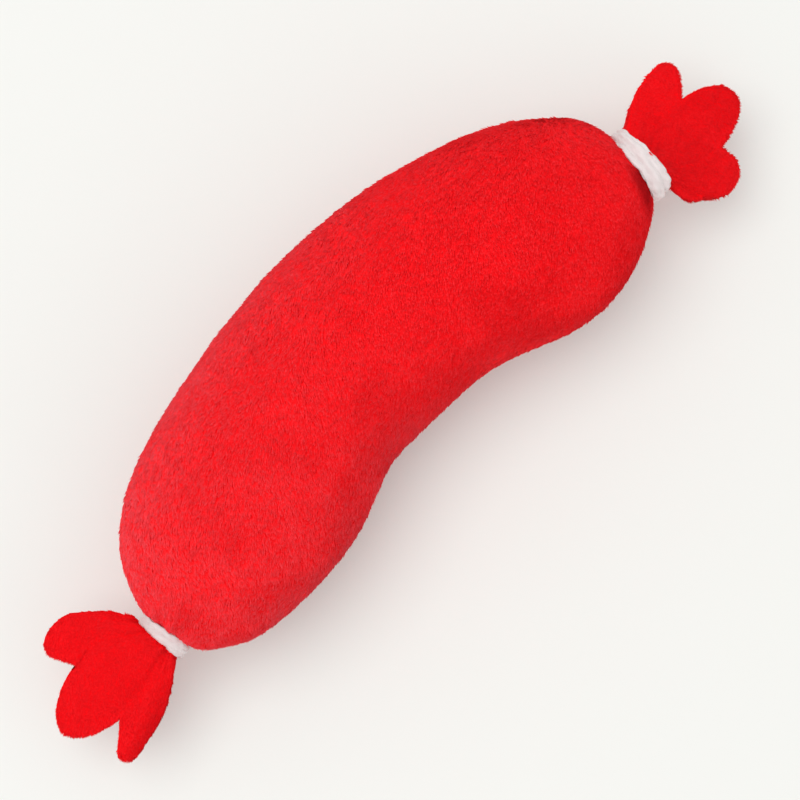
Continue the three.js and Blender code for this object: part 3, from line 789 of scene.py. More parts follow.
def blow_up(grid, held):
    """Positions of the grid after its cloth has been filled under pressure."""
    faces = grid_faces(*grid.shape[:2], around=True)
    tube = add_mesh("filling", grid * SIM_SCALE, faces)
    group = tube.vertex_groups.new(name="held")
    for index in np.flatnonzero(held > 0):
        group.add([int(index)], float(held[index]), "REPLACE")
    cloth = tube.modifiers.new("cloth", "CLOTH")
    for key, value in CLOTH_SETTINGS.items():
        setattr(cloth.settings, key, value)
    cloth.settings.effector_weights.gravity = 0
    for step in range(1, SIM_FRAMES + 1):
        bpy.context.scene.frame_set(step)
    depsgraph = bpy.context.evaluated_depsgraph_get()
    filled = tube.evaluated_get(depsgraph)
    points = np.array([v.co for v in filled.data.vertices]) / (METRES * SIM_SCALE)
    bpy.data.objects.remove(tube)
    bpy.context.scene.frame_set(1)
    return points.reshape(grid.shape)


def fill_body():
    target = body_grid(PILE_DEPTH)
    start = body_grid(PILE_DEPTH + SIM_SHRINK)
    s = np.repeat(np.abs(body_stations()), start.shape[1])
    held = smooth((s - DOME_END + HELD_LENGTH) / HELD_LENGTH)
    moved = blow_up(start, held) - start
    length = np.linalg.norm(moved, axis=-1, keepdims=True)
    moved = moved * np.minimum(1, MOVE_CAP / np.maximum(length, 1e-9))
    outward = (moved * grid_normals(start, around=True)).sum(-1)
    print("filling moved the cloth by up to", round(float(length.max()), 2),
          "mm, outwards by", round(float(outward.mean()), 2), "mm on average")
    return start + moved


filled_body = fill_body()

# %% [markdown]
# Loose stuffing packs unevenly, so the cloth has soft lumps a couple of centimetres across. Where
# the toy lies on the table its underside is pressed flat. The grid is refined once, and the nap is
# laid over it: on this cloth the pile runs aslant to the toy, and swirls where it was handled.

# %% Lumps, the flat underside and the nap
LUMP_HEIGHT = 0.35
LUMP_SIZE = 21
LUMP_FADE = 12
REST_HEIGHT = 0.9
REST_CORNER = 0.5
NAP = np.array([-0.706, -0.708, 0.0])
NAP_DOWN = 0.15
SWIRL = math.radians(26)
SWIRL_SIZES = (15, 5)
SWIRL_SHARES = (1.6, 0.6)


def noise_over(grid, size, seed):
    """Smooth noise from -1 to 1 at each point, with features of about that size."""
    places = (grid.reshape(-1, 3) / size + seed * 7.3).tolist()
    values = [noise.noise(place) for place in places]
    return np.reshape(values, grid.shape[:2])


def nap_over(grid, normals, direction, seed):
    """The direction that the pile lies in: one direction, kept in the cloth and swirled a little."""
    direction = np.broadcast_to(direction, grid.shape)
    lying = direction - (direction * normals).sum(-1, keepdims=True) * normals
    downhill = np.array([0, 0, -1.0]) - normals * -normals[..., 2:]
    lying = unit(lying + NAP_DOWN * downhill)
    swirls = [noise_over(grid, size, seed + i) for i, size in enumerate(SWIRL_SIZES)]
    angle = (swirls[0] * SWIRL_SHARES[0] + swirls[1] * SWIRL_SHARES[1]) * SWIRL
    beside = np.cross(normals, lying)
    return lying * np.cos(angle)[..., None] + beside * np.sin(angle)[..., None]


stations = refine_axis(body_stations(), 0)


def shape_body(grid):
    grid = refine_axis(refine_axis(grid, 0), 1, around=True)
    normals = grid_normals(grid, around=True)
    free = smooth((DOME_END - np.abs(stations)) / LUMP_FADE)[:, None]
    lumps = noise_over(grid, LUMP_SIZE, seed=1) + 0.5 * noise_over(grid, LUMP_SIZE / 2, seed=2)
    grid = grid + normals * (lumps * LUMP_HEIGHT * free)[..., None]
    low = grid[..., 2]
    pressed = REST_HEIGHT + softly(low - REST_HEIGHT, REST_CORNER)
    grid[..., 2] = np.where(low < 3 * REST_HEIGHT, pressed, low)
    return grid


body = shape_body(filled_body)
body_normals = grid_normals(body, around=True)
print("body grid of", body.shape[0], "rows and", body.shape[1], "columns")

# %% [markdown]
# The toy can be squeezed: its upper side sinks while its underside stays on the table. Here the
# pieces of the upper side get their placement baked into their points, and the other pieces are
# attached to the lower side.

# %% Place the upper and lower pieces, and dress them
SQUEEZE_FROM = (0, 0, 28.5 * METRES)
SQUEEZE_TO = (0, 0, 50.5 * METRES)


def carry(piece, squeezed):
    """Bake an upper piece's placement into its points, or attach the piece to the lower side."""
    if squeezed:
        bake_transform(piece)
    else:
        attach(piece, "lower_side")


def dress(piece, finish):
    piece.data.materials.clear()
    piece.data.materials.append(finish)
    return piece


def shell_piece(name, points, faces, finish, slot):
    """A closed shell as a dressed piece whose faces point outwards."""
    return dress(face_outwards(add_mesh(name, points, faces)), finish)


print("squeezed between", SQUEEZE_FROM[2], "and", SQUEEZE_TO[2], "m above the table")

# %% [markdown]
# Now the body's two panels. Their pile is painted paler on the toy's sides, on the outer side that
# faces the key lamp and towards the left end: painted sheen and painted light. Beside the right tie
# the cloth turns in under itself; there the pile is sparser and gets painted shade.

# %% Where the pile gets painted sheen and light, and where it turns in
# Painted sheen and light, which also scale the pile's handled patches: paler towards the left end, on the
# outer side that faces the key lamp, and on the sides
PAINTED_LIGHT_ALONG = (0.35, 2.1)  # at the right end and at the left
PAINTED_LIGHT_OUTER = (0.5, 1.3)
PAINTED_LIGHT_ANGLE = 0.4  # radians
PAINTED_RIM_SHEEN = 2.4
RIM_SHEEN_RIGHT_SHARE = 0.3
FOLD_PLACE = 77.6
FOLD_ANGLE = 126  # degrees round the toy
# Reach along the toy and spread round it, of the bare pile and of the painted shade
FOLD_BARE = (1.9, 34)
FOLD_PAINTED_SHADE = (2.3, 36)
FOLD_BARENESS = 0.35
along_body = stations[:, None]
round_body = turns(body.shape[1])[None]


def towards_left(start, length):
    """0 at the start, and 1 that length further left."""
    return smooth((start - along_body) / length)


# Painted light along the toy and on the lit outer side, and painted sheen on the sides
def sheen_and_light_over_body():
    upright = 1 - np.clip(np.abs(body_normals[..., 2]), 0, 1)
    everywhere = mix(*PAINTED_LIGHT_ALONG, towards_left(start=30, length=100))
    facing_out = np.maximum(np.cos(round_body - PAINTED_LIGHT_ANGLE), 0) ** 3
    outer_side = mix(*PAINTED_LIGHT_OUTER, towards_left(start=45, length=70)) * facing_out
    sides = PAINTED_RIM_SHEEN * upright * mix(RIM_SHEEN_RIGHT_SHARE, 1, towards_left(start=50, length=60))
    return everywhere + outer_side + sides


def folded_under(reach, spread):
    off = (np.degrees(round_body) - FOLD_ANGLE) / spread
    return np.exp(-((along_body - FOLD_PLACE) / reach) ** 4 - off ** 4)


painted_sheen_and_brushed = sheen_and_light_over_body()
print("brushed from", round(float(painted_sheen_and_brushed.min()), 2), "to", round(float(painted_sheen_and_brushed.max()), 2))

# %% [markdown]
# Each panel is a closed cloth nearly a millimetre thick, cut from the grid at the seam. Its pile is
# in four pieces, so that no mesh gets too heavy.

# %% Upper and lower panels with their pile
CLOTH = 0.9
PILE_CUTS = 4
COVER_END = TIE_PLACE - 1.2
COVER_FADE = 0.6
LIFT_CHANGE = 0.3
FLOOR_GAP = 0.1 * METRES

columns_each = body.shape[1] // 2
covered = smooth((COVER_END - np.abs(along_body)) / COVER_FADE)
over_body = {
    "nap": nap_over(body, body_normals, NAP, seed=3),
    "pile_lift": 1 + LIFT_CHANGE * noise_over(body, size=9, seed=5),
    "pile_cover": covered * (1 - FOLD_BARENESS * folded_under(*FOLD_BARE)),
    "painted_sheen_and_brushed": painted_sheen_and_brushed,
    # Painted shade in the fold beside the right tie
    "painted_shade": folded_under(*FOLD_PAINTED_SHADE),
}


def keep_above_floor(piece):
    """Lift the points that would dip under the table: the pile there is crushed flat."""
    points = np.empty(len(piece.data.vertices) * 3, np.float32)
    piece.data.vertices.foreach_get("co", points)
    points[2::3] = np.maximum(points[2::3], FLOOR_GAP)
    piece.data.vertices.foreach_set("co", points)


def make_panel(name, side, seed):
    """One panel, with both its seams, and its pile."""
    first = 0 if side > 0 else columns_each
    columns = np.arange(first, first + columns_each + 1) % body.shape[1]
    grid = body[:, columns]
    panel = shell_piece(name + "_panel", *shell_of(grid, CLOTH), backing_finish, "plush")
    carry(panel, side > 0)
    cuts = np.linspace(0, len(grid) - 1, PILE_CUTS + 1).astype(int)
    for part, (first, last) in enumerate(zip(cuts[:-1], cuts[1:])):
        rows = slice(first, last + 1)
        some = {key: value[rows, columns] for key, value in over_body.items()}
        faces = grid_faces(last + 1 - first, grid.shape[1])
        pile = grow_pile(f"{name}_pile_{part + 1}", grid[rows], faces, some, seed + part)
        if side < 0:
            keep_above_floor(pile)
        carry(pile, side > 0)
    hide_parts(name + "_casing")
    print(panel.name, len(panel.data.polygons), "faces")


make_panel("upper", side=1, seed=21)
make_panel("lower", side=-1, seed=31)

# %% [markdown]
# Each frill is where the two panels leave the tie, and opens into three rounded lobes. A lobe's
# outline is a smooth curve through a few points, with sharp notches between the lobes. Each point
# is a share of the frill's reach and a share of half its width.

# %% Outline of a frill
LOBE_STEPS = 24
LEFT_LOBES = [
    [(-0.13, 0.36), (-0.08, 0.5), (-0.03, 0.64), (0.1, 0.84), (0.26, 0.99), (0.42, 1.02), (0.51, 0.95),
     (0.53, 0.86), (0.46, 0.58)],
    [(0.46, 0.58), (0.6, 0.58), (0.73, 0.55), (0.9, 0.46), (1, 0.31), (0.98, 0.18), (0.88, 0.04),
     (0.74, -0.06), (0.61, -0.13)],
    [(0.61, -0.13), (0.78, -0.26), (0.87, -0.32), (0.9, -0.41), (0.83, -0.49), (0.69, -0.49),
     (0.47, -0.48), (0.26, -0.41), (0.13, -0.33), (0.02, -0.24)],
]
RIGHT_LOBES = [
    [(-0.08, 0.37), (0.08, 0.52), (0.2, 0.61), (0.36, 0.68), (0.54, 0.74), (0.69, 0.76), (0.77, 0.68),
     (0.77, 0.55), (0.69, 0.4), (0.57, 0.23)],
    [(0.57, 0.23), (0.7, 0.2), (0.85, 0.14), (1, 0), (1.03, -0.14), (1.01, -0.27), (0.89, -0.4),
     (0.71, -0.49), (0.56, -0.53)],
    [(0.56, -0.53), (0.57, -0.64), (0.59, -0.77), (0.52, -0.94), (0.36, -1.02), (0.25, -0.98),
     (0.12, -0.87), (-0.03, -0.73), (-0.09, -0.52)],
]
# Ridge: the line, across and sloping, past which the inner side falls away, and how steeply.
# Rise and back: how far the cloth swells up and back over the ribbon where it comes out.
# The paleness value sets how pale a frill's pile is painted; painted_shade_inwards is painted shade on the
# inner lobes, which face away from the light
LEFT["frill"] = {"lobes": LEFT_LOBES, "reach": 28.5, "span": 22.5, "droop": 3.4, "seed": 41,
                 "ridge": -6.2, "ridge_slope": -0.09, "fall": 1.05, "round": 0.7,
                 "rise": 2.8, "back": 1.5, "fan": 3.2, "puffed": 7.5, "mound": 0.0,
                 "crease": 0.0, "painted_sheen_and_brushed": 0.5, "painted_shade_inwards": 0.0}
RIGHT["frill"] = {"lobes": RIGHT_LOBES, "reach": 25.9, "span": 19.4, "droop": 4.2, "seed": 51,
                  "ridge": -2.5, "ridge_slope": 0.0, "fall": 0.3, "round": 2.5,
                  "rise": 1.6, "back": 0.9, "fan": 2.6, "puffed": 6.5, "mound": 2.6,
                  "crease": 1.3, "painted_sheen_and_brushed": 0.55, "painted_shade_inwards": 0.1}


def round_lobe(points, steps):
    """Points evenly spaced along a smooth curve through the given ones."""
    p = np.asarray(points, float)
    p = np.concatenate([p[:1], p, p[-1:]])
    t = np.linspace(0, len(p) - 3, 200)
    i = np.minimum(t.astype(int), len(p) - 4)
    f = (t - i)[:, None]
    a, b, c, d = p[i], p[i + 1], p[i + 2], p[i + 3]
    fine = ((2 * b) + (c - a) * f + (2 * a - 5 * b + 4 * c - d) * f ** 2
            + (3 * b - a - 3 * c + d) * f ** 3) / 2
    run = np.concatenate([[0], np.cumsum(np.linalg.norm(np.diff(fine, axis=0), axis=1))])
    even = np.linspace(0, run[-1], steps + 1)
    return np.stack([np.interp(even, run, fine[:, k]) for k in (0, 1)], -1)


def frill_edge(frill):
    edge = []
    for lobe in frill["lobes"]:
        points = np.array(lobe) * (frill["reach"], frill["span"])
        edge.append(round_lobe(points, LOBE_STEPS)[1 if edge else 0:])
    return np.concatenate(edge)


print("frill edges:", [len(frill_edge(end["frill"])) for end in (LEFT, RIGHT)], "points")

# %% [markdown]
# The cloth starts as a gathered tube inside the ribbon, fans out and flattens towards that outline.
# Its height is a sum of plain forms: half the gap between the two layers, which closes past the
# round neck, pleats that fade away, slow waves, a crown on each lobe with a dip between two, and
# the way the frill hangs.

# %% Surface of a frill
FRILL_CLOTH = 0.8
FRILL_ROWS = 30
NECK_ROWS = 4
LEAVES_TIE = -2.5  # where the frill comes out of the ribbon, before the axis it bends about
ROOT_INSET = 0.3
LAYERS_APART = 0.25
PLEAT_HEIGHT, PLEAT_REACH = 0.5, 6
FINE_PLEATS, FINE_PLEAT_HEIGHT = 19, 0.3
WAVE_HEIGHT = 0.5
VALLEY_DEPTH = 0.8
CROWN_HEIGHT = 0.9
DROOP_REACH = 25


def hump(x, centre, width):
    return np.exp(-((x - centre) / width) ** 2)


def frill_grid(end, side):
    """One layer of a frill, upper (side 1) or lower (side -1), in the frame of its bending axis."""
    frill, seed = end["frill"], end["frill"]["seed"]
    edge = frill_edge(frill)
    v = np.linspace(0, 1, len(edge))[None]
    theta = np.pi * v
    u = np.concatenate([np.zeros(NECK_ROWS), np.linspace(0, 1, FRILL_ROWS + 1)[1:] ** 1.25])[:, None]
    inside = np.linspace(TIE_PLACE - FRILL_AXIS, LEAVES_TIE, NECK_ROWS)
    start = np.concatenate([inside, np.full(FRILL_ROWS, LEAVES_TIE)])[:, None]
    root = end["neck"] - ROOT_INSET
    # The columns at both sides run straight, so that they stay inside the outline
    fan = mix(1, frill["fan"], smooth(np.minimum(v, 1 - v) / 0.33))
    x = mix(start, edge[None, :, 0], u)
    y = mix(root * np.cos(theta), edge[None, :, 1], 1 - (1 - u) ** fan)
    run = np.hypot(x - LEAVES_TIE, (y - root * np.cos(theta)) * 0.6) * (u > 0)

    # From the round neck to two flat layers, with a swelling just past the ribbon
    puff = np.exp(-(run / frill["puffed"]) ** 1.6)
    high = root * HEIGHT_SHARE * np.sin(theta)
    swell = hump(run, 1.3, 1.6) * np.sin(theta) ** 0.5 * np.minimum(1, run / 0.6)
    half = mix(LAYERS_APART + FRILL_CLOTH + 0 * v, high, puff)
    half = half + swell * frill["rise"] * (1.0 if side > 0 else 0.6)
    x = x - frill["back"] * swell * (1 - v) ** 0.6

    # Pleats that fade away from the ribbon, finer ones on the inner side, and slow waves
    pleats = np.cos(2 * np.pi * 5.5 * v + seed) + 0.7 * np.cos(2 * np.pi * 9.3 * v + 2 * seed)
    gathered = PLEAT_HEIGHT * pleats * np.exp(-run / PLEAT_REACH)
    gathered = gathered * np.minimum(1, run / 0.8) * np.sin(theta)
    at_fine = np.exp(-((v - 0.8) / 0.14) ** 2 - ((run - 4) / 3) ** 2)
    fine = FINE_PLEAT_HEIGHT * np.cos(2 * np.pi * FINE_PLEATS * v) * at_fine
    waves = WAVE_HEIGHT * np.sin(np.pi * u) * np.cos(2 * np.pi * 2.6 * v + seed)

    # Each lobe is crowned, and the cloth dips between two lobes
    valley = sum(hump(v, k / 3, 0.05) for k in (1, 2)) * -VALLEY_DEPTH * np.sin(np.pi * u ** 1.4)
    lobe = sum(hump(v, (k + 0.5) / 3, 0.09) for k in range(3)) * CROWN_HEIGHT * np.sin(np.pi * u)

    # The frill hangs, falls away past its ridge, and on the right is tilted and creased
    past = softly(frill["ridge"] + frill["ridge_slope"] * x - y, frill["round"])
    fall = frill["fall"] * past * smooth(run / 6)
    hang = frill["droop"] * (run / DROOP_REACH) ** 2 + fall
    tilted = -frill["mound"] * (1 - smooth(v / 0.4)) * smooth(u / 0.5)
    crease = np.exp(-((v - 0.84) / 0.035) ** 2 - ((run - 7.5) / 3.6) ** 2) * (1 - u ** 4)
    layer = side * (half + gathered + fine)
    z = layer + waves + valley + lobe + tilted - frill["crease"] * crease - hang
    return np.stack([x, y, z], -1)


def in_end_frame(end, place, grid):
    """Move a grid from the frame at that place of the spine to the toy's own frame."""
    centre, out, normal = (part[0] for part in spine(end["sign"] * place))
    return centre + grid[..., :1] * out + grid[..., 1:2] * normal + grid[..., 2:] * np.array([0, 0, 1])


print("rows and columns of a frill layer:", *frill_grid(LEFT, side=1).shape[:2])

# %% [markdown]
# A frill can flap. Its cloth would bend over a short stretch past the ribbon, and that stretch is
# worked out here. Past its ridge the frill turns away from the light and its pile gets painted
# shade, and on the rim the pile lies over the edge.

# %% Where a frill would bend, and how its pile lies
BEND_FROM = -2.5
BEND_TO = 8
FRILL_FOLD_SHADE = 0.3
FRILL_FOLD_WIDTH = 3.5


def bends_with_frill(piece, end):
    """The stretch past the ribbon where the cloth would bend; the piece's placement is baked into its
    points.
    """
    centre, out, _ = (part[0] for part in spine(end["sign"] * FRILL_AXIS))
    start, stop = (Vector(((centre + out * d) * METRES).tolist()) for d in (BEND_FROM, BEND_TO))
    end["name"] + "_frill"
    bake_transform(piece)


def turned_down(end, side, flipped):
    """Painted shade on a frill: past its ridge, which turns away from the light, and on its inner lobes."""
    frill = end["frill"]
    flat = frill_grid(end, side)
    past = frill["ridge"] + frill["ridge_slope"] * flat[..., 0] - flat[..., 1]
    inwards = smooth((np.linspace(0, 1, flat.shape[1])[None] - 0.28) / 0.2)
    folded = FRILL_FOLD_SHADE * frill["fall"] * smooth(past / FRILL_FOLD_WIDTH)
    # The inner lobes face away from the light, so they get painted shade too
    shade = folded + frill["painted_shade_inwards"] * inwards
    return shade[:, ::-1] if flipped else shade


def over_the_edge(grid, outward):
    """The direction of pile on the rim, which lies over the edge and away from the cloth."""
    over = outward.copy()
    over[:-1, 0] = grid[:-1, 0] - grid[:-1, 1]
    over[:-1, -1] = grid[:-1, -1] - grid[:-1, -2]
    return unit(over)


print("a frill bends over", BEND_TO - BEND_FROM, "mm")

# %% [markdown]
# A frill layer is a thin closed cloth like the panels, with pile on its outer face. On the real toy
# the pile runs on over the cut edge, so a narrow strip along the edge grows pile as well.

# %% Make the frills
FRILL_STRAND_LENGTH = 1.0
FRILL_STRAND_LEAN = math.radians(12)
NAP_OUTWARD = 0.4
COVER_RISE = 30
RIM_FROM = 0.25  # share of the rows past which the rim is cut upright


def flat_area(grid):
    """Area of a grid in square metres."""
    a = grid[1:, 1:] - grid[:-1, :-1]
    b = grid[1:, :-1] - grid[:-1, 1:]
    return float(np.linalg.norm(np.cross(a, b), axis=-1).sum() / 2) * METRES ** 2


def make_frill(end, side, label):
    name, frill = f"{end['name']}_frill_{label}", end["frill"]
    grid = in_end_frame(end, FRILL_AXIS, frill_grid(end, side))
    flipped = side * end["sign"] < 0
    if flipped:
        grid = grid[:, ::-1]
    normals = grid_normals(grid)
    if (normals[..., 2].mean() > 0) != (side > 0):
        grid, normals, flipped = grid[:, ::-1], -normals[:, ::-1], not flipped
    rows = np.linspace(0, 1, len(grid))[:, None]
    upright = smooth((rows - RIM_FROM) / RIM_FROM)[..., None]
    out = unit(mix(normals, np.array([0, 0, float(side)]), upright))
    points, faces = shell_of(grid, FRILL_CLOTH, out=out)
    layer = shell_piece(name + "_cloth", points, faces, backing_finish, "plush")

    outward = unit(np.gradient(grid, axis=0))
    direction = outward * NAP_OUTWARD + NAP * (1 - NAP_OUTWARD)
    nap = nap_over(grid, normals, direction, frill["seed"])
    cover = np.repeat(smooth((rows - NECK_ROWS / len(grid)) * COVER_RISE), grid.shape[1], axis=1)
    shaded = turned_down(end, side, flipped)
    attributes = {
        "nap": np.concatenate([nap, over_the_edge(grid, outward)]),
        "pile_lift": np.tile(1 + LIFT_CHANGE * noise_over(grid, 7, frill["seed"]), (2, 1)),
        "pile_cover": np.concatenate([cover, cover]),
        "painted_sheen_and_brushed": np.full((2 * len(grid), grid.shape[1]), frill["painted_sheen_and_brushed"]),
        "painted_shade": np.concatenate([shaded, shaded]),
    }
    count = (len(grid) - 1) * (grid.shape[1] - 1)
    furred = np.concatenate([faces[:count], faces[2 * count:]])
    pile = grow_pile(name + "_pile", points, furred, attributes, frill["seed"] + side,
                     FRILL_STRAND_LENGTH, FRILL_STRAND_LEAN, frill_pile_finish)
    for piece in (layer, pile):
        bends_with_frill(piece, end)
    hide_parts(name)
    area = flat_area(grid)
    end["name"] + "_ribbon"
    print(name, "cloth of", round(area * 1e6), "square mm")


for end in (LEFT, RIGHT):
    for side, label in ((1, "upper"), (-1, "lower")):
        make_frill(end, side, label)

# %% [markdown]
# A tie is a strip of satin wound nearly twice round the neck and knotted on the inner side. Pulled
# tight it bunches: narrow on the outer side, wider towards the knot, with folds along its length.

# %% Ribbon ties
RIBBON_TURNS = 1.9
RIBBON_CLOTH = 0.28
KNOT_ANGLE = math.radians(250)
RIBBON_COLUMNS = 15
RIBBON_STEPS = 260
RIBBON_RISE = 1.1
RIBBON_MAP = (9, 100)
EDGE_ROLL = 0.35
EDGE_WOBBLE, EDGE_RIPPLE = 0.16, 0.08
PULLED_IN = 0.75
PULLED_WIDTH = 0.9  # radians
# Half width on the outer and on the inner side of the neck, rise of each turn, depth of the folds
# and of the creases, and how far the band lies aslant and aside
LEFT["ribbon"] = {"outer": 1.9, "inner": 1.95, "rise": 0.45, "folds": 0.12,
                  "crush": 0.05, "aslant": 0.1, "aside": 0.1}
RIGHT["ribbon"] = {"outer": 2.2, "inner": 2.9, "rise": 0.6, "folds": 0.3,
                   "crush": 0.12, "aslant": 0.9, "aside": 0.85}


def ribbon_band(end):
    """The wound part of a tie: rows along the ribbon, columns across it."""
    ribbon = end["ribbon"]
    wound = np.linspace(0, RIBBON_TURNS, RIBBON_STEPS)[:, None]
    angle = KNOT_ANGLE - 2 * np.pi * (RIBBON_TURNS - wound)
    w = np.linspace(-1, 1, RIBBON_COLUMNS)[None]
    inner_side = (1 - np.cos(angle)) / 2
    half = mix(ribbon["outer"], ribbon["inner"], inner_side ** 0.8)
    wander = np.sin(angle * 1.7 + wound * 2.1)
    folds = np.cos(w * 5.2 + wander * 1.3) + 0.5 * np.cos(w * 10.5 - angle * 1.9 + wound * 3)
    crush = np.sin(angle * 9 + w * 3) + 0.7 * np.sin(angle * 17 - w * 5)
    crush = crush + 0.6 * np.sin(angle * 5 + w * 8)
    rise = RIBBON_RISE + wound * ribbon["rise"] + folds * ribbon["folds"] + crush * ribbon["crush"]
    rise = rise - EDGE_ROLL * w ** 4
    slant = ribbon["aslant"] * (0.3 + np.cos(angle))
    wobble = EDGE_WOBBLE * np.sin(angle * 6 + wound * 4) * w
    wobble = wobble + EDGE_RIPPLE * np.sin(angle * 15) * np.abs(w)
    at_fold = hump(angle % (2 * np.pi), math.radians(FOLD_ANGLE), PULLED_WIDTH)
    pulled = 1 - PULLED_IN * at_fold
    x = half * w + slant + wobble - ribbon["aside"] * pulled
    y = (end["neck"] + rise) * np.cos(angle)
    z = (end["neck"] * HEIGHT_SHARE + rise) * np.sin(angle)
    return np.stack([x, y, z], -1)


def ribbon_piece(name, grid, end, width, length):
    """A strip of ribbon from its grid in the tie's frame, with its map in millimetres."""
    shell = shell_of(in_end_frame(end, TIE_PLACE, grid), RIBBON_CLOTH)
    piece = shell_piece(name, *shell, ribbon_finish, "ribbon")
    rows, columns = grid.shape[:2]
    across, down = np.meshgrid(np.linspace(0, width, columns), np.linspace(0, length, rows))
    places = np.stack([across, down], -1).reshape(-1, 2)
    map_points(piece, "cloth", np.concatenate([places, places]))
    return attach(piece, "lower_side")


for end in (LEFT, RIGHT):
    band = ribbon_piece(end["name"] + "_ribbon", ribbon_band(end), end, *RIBBON_MAP)
    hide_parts(end["name"] + "_tie")
    print(band.name, len(band.data.polygons), "faces")

# %% [markdown]
# The ribbon's end is knotted under the neck, on the inner side. The knot is one lump with folds
# that run round it and a turn pulled tight over its middle. Two tails, cut to a notch, hang from it.

# %% Knots and tails
KNOT_LENGTH = 5.2
KNOT_WIDTH = 4.2
KNOT_HEIGHT = 3.4
KNOT_FINENESS = 5
KNOT_FOLD, KNOT_CREASE = 0.08, 0.05
KNOT_TURN, KNOT_GROOVE = 0.22, 0.12
TAIL_LENGTH = 7
TAIL_HALF_WIDTH = 1.6
TAIL_ROOT_SHARE = 0.66
TAIL_NOTCH = 0.17
TAIL_LEANS = {"a": 0.75, "b": -0.3}
TAIL_POINTS = (19, 9)
TAIL_FOLD, TAIL_WAVE = 0.35, 0.25
TAIL_SPREAD, TAIL_SWING = 0.9, 4.2
TAIL_TWIST = 0.5
TAIL_MAP_WIDTH = 5
SUNK_IN = 0.7
TAIL_SUNK_IN = 0.6


def knot_place(end):
    """Centre of the knot in the tie's frame, and the direction out of the neck there."""
    out = np.array([0, math.cos(KNOT_ANGLE), math.sin(KNOT_ANGLE)])
    rise = RIBBON_RISE + RIBBON_TURNS * end["ribbon"]["rise"] + KNOT_HEIGHT / 2 - SUNK_IN
    return out * (np.array([0, 1, HEIGHT_SHARE]) * end["neck"] + rise), out


def make_knot(end):
    centre, out = knot_place(end)
    along = np.cross(out, [1, 0, 0])
    ball = bmesh.new()
    bmesh.ops.create_icosphere(ball, subdivisions=KNOT_FINENESS, radius=1)
    sphere = np.array([v.co for v in ball.verts])
    faces = [[v.index for v in face.verts] for face in ball.faces]
    ball.free()
    way = sphere[:, 1]
    round_knot = np.arctan2(sphere[:, 2], sphere[:, 0])
    folds = KNOT_FOLD * np.cos(6 * round_knot + 4 * way)
    folds = folds + KNOT_CREASE * np.cos(11 * round_knot - 7 * way)
    tight = KNOT_TURN * np.exp(-(way / 0.3) ** 4) - KNOT_GROOVE * hump(np.abs(way), 0.45, 0.12)
    sized = sphere * (0.9 + folds + tight)[:, None] * (KNOT_WIDTH / 2, KNOT_LENGTH / 2, KNOT_HEIGHT / 2)
    points = centre + sized[:, :1] * np.array([1, 0, 0]) + sized[:, 1:2] * along + sized[:, 2:] * out
    points = in_end_frame(end, TIE_PLACE, points)
    piece = shell_piece(end["name"] + "_knot", points, faces, ribbon_finish, "ribbon")
    map_points(piece, "cloth", np.stack([round_knot * KNOT_WIDTH / 2, way * KNOT_LENGTH / 2], -1))
    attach(piece, "lower_side")


def tail_grid(end, lean):
    centre, _ = knot_place(end)
    t = np.linspace(0, 1, TAIL_POINTS[0])[:, None]
    w = np.linspace(-1, 1, TAIL_POINTS[1])[None]
    half = TAIL_HALF_WIDTH * mix(TAIL_ROOT_SHARE, 1, t)
    fold = TAIL_FOLD * np.cos(2.6 * w + 3 * lean) * (1 - 0.5 * t)
    fold = fold + TAIL_WAVE * np.sin(5 * t + 4 * lean)
    x = half * w * np.cos(TAIL_TWIST * t * lean) + TAIL_SPREAD * lean * t
    y = centre[1] - TAIL_SWING * lean * t ** 2 + fold + half * w * np.sin(TAIL_TWIST * t * lean)
    z = centre[2] - TAIL_SUNK_IN - TAIL_LENGTH * t * (1 - TAIL_NOTCH * (1 - np.abs(w)) * t)
    return np.stack([x, y, z], -1)


for end in (LEFT, RIGHT):
    make_knot(end)
    for label, lean in TAIL_LEANS.items():
        name = f"{end['name']}_tail_{label}"
        ribbon_piece(name, tail_grid(end, lean), end, TAIL_MAP_WIDTH, TAIL_LENGTH)
    print(end["name"], "knot", round(float(knot_place(end)[0][2]), 1), "mm from the neck's middle")

# %% [markdown]
# Two seams have stitches that can be seen: the one that closes the casing, on the inner side of the
# bend, and the one round the pouch's rim. A stitch is a short round thread, repeated evenly along
# a path, so a tree makes them: it spaces points along the path and turns each stitch along it or
# across it.

# %% Tree that sews stitches along a path
STITCH_SPACING = 2.4
STITCH_LENGTH = 1.7
STITCH_THICKNESS = 0.42
STITCH_UNEVEN = 0.12
STITCH_SPREAD = (0.85, 1.1)
STITCH_SEGMENTS, STITCH_RINGS = 8, 6


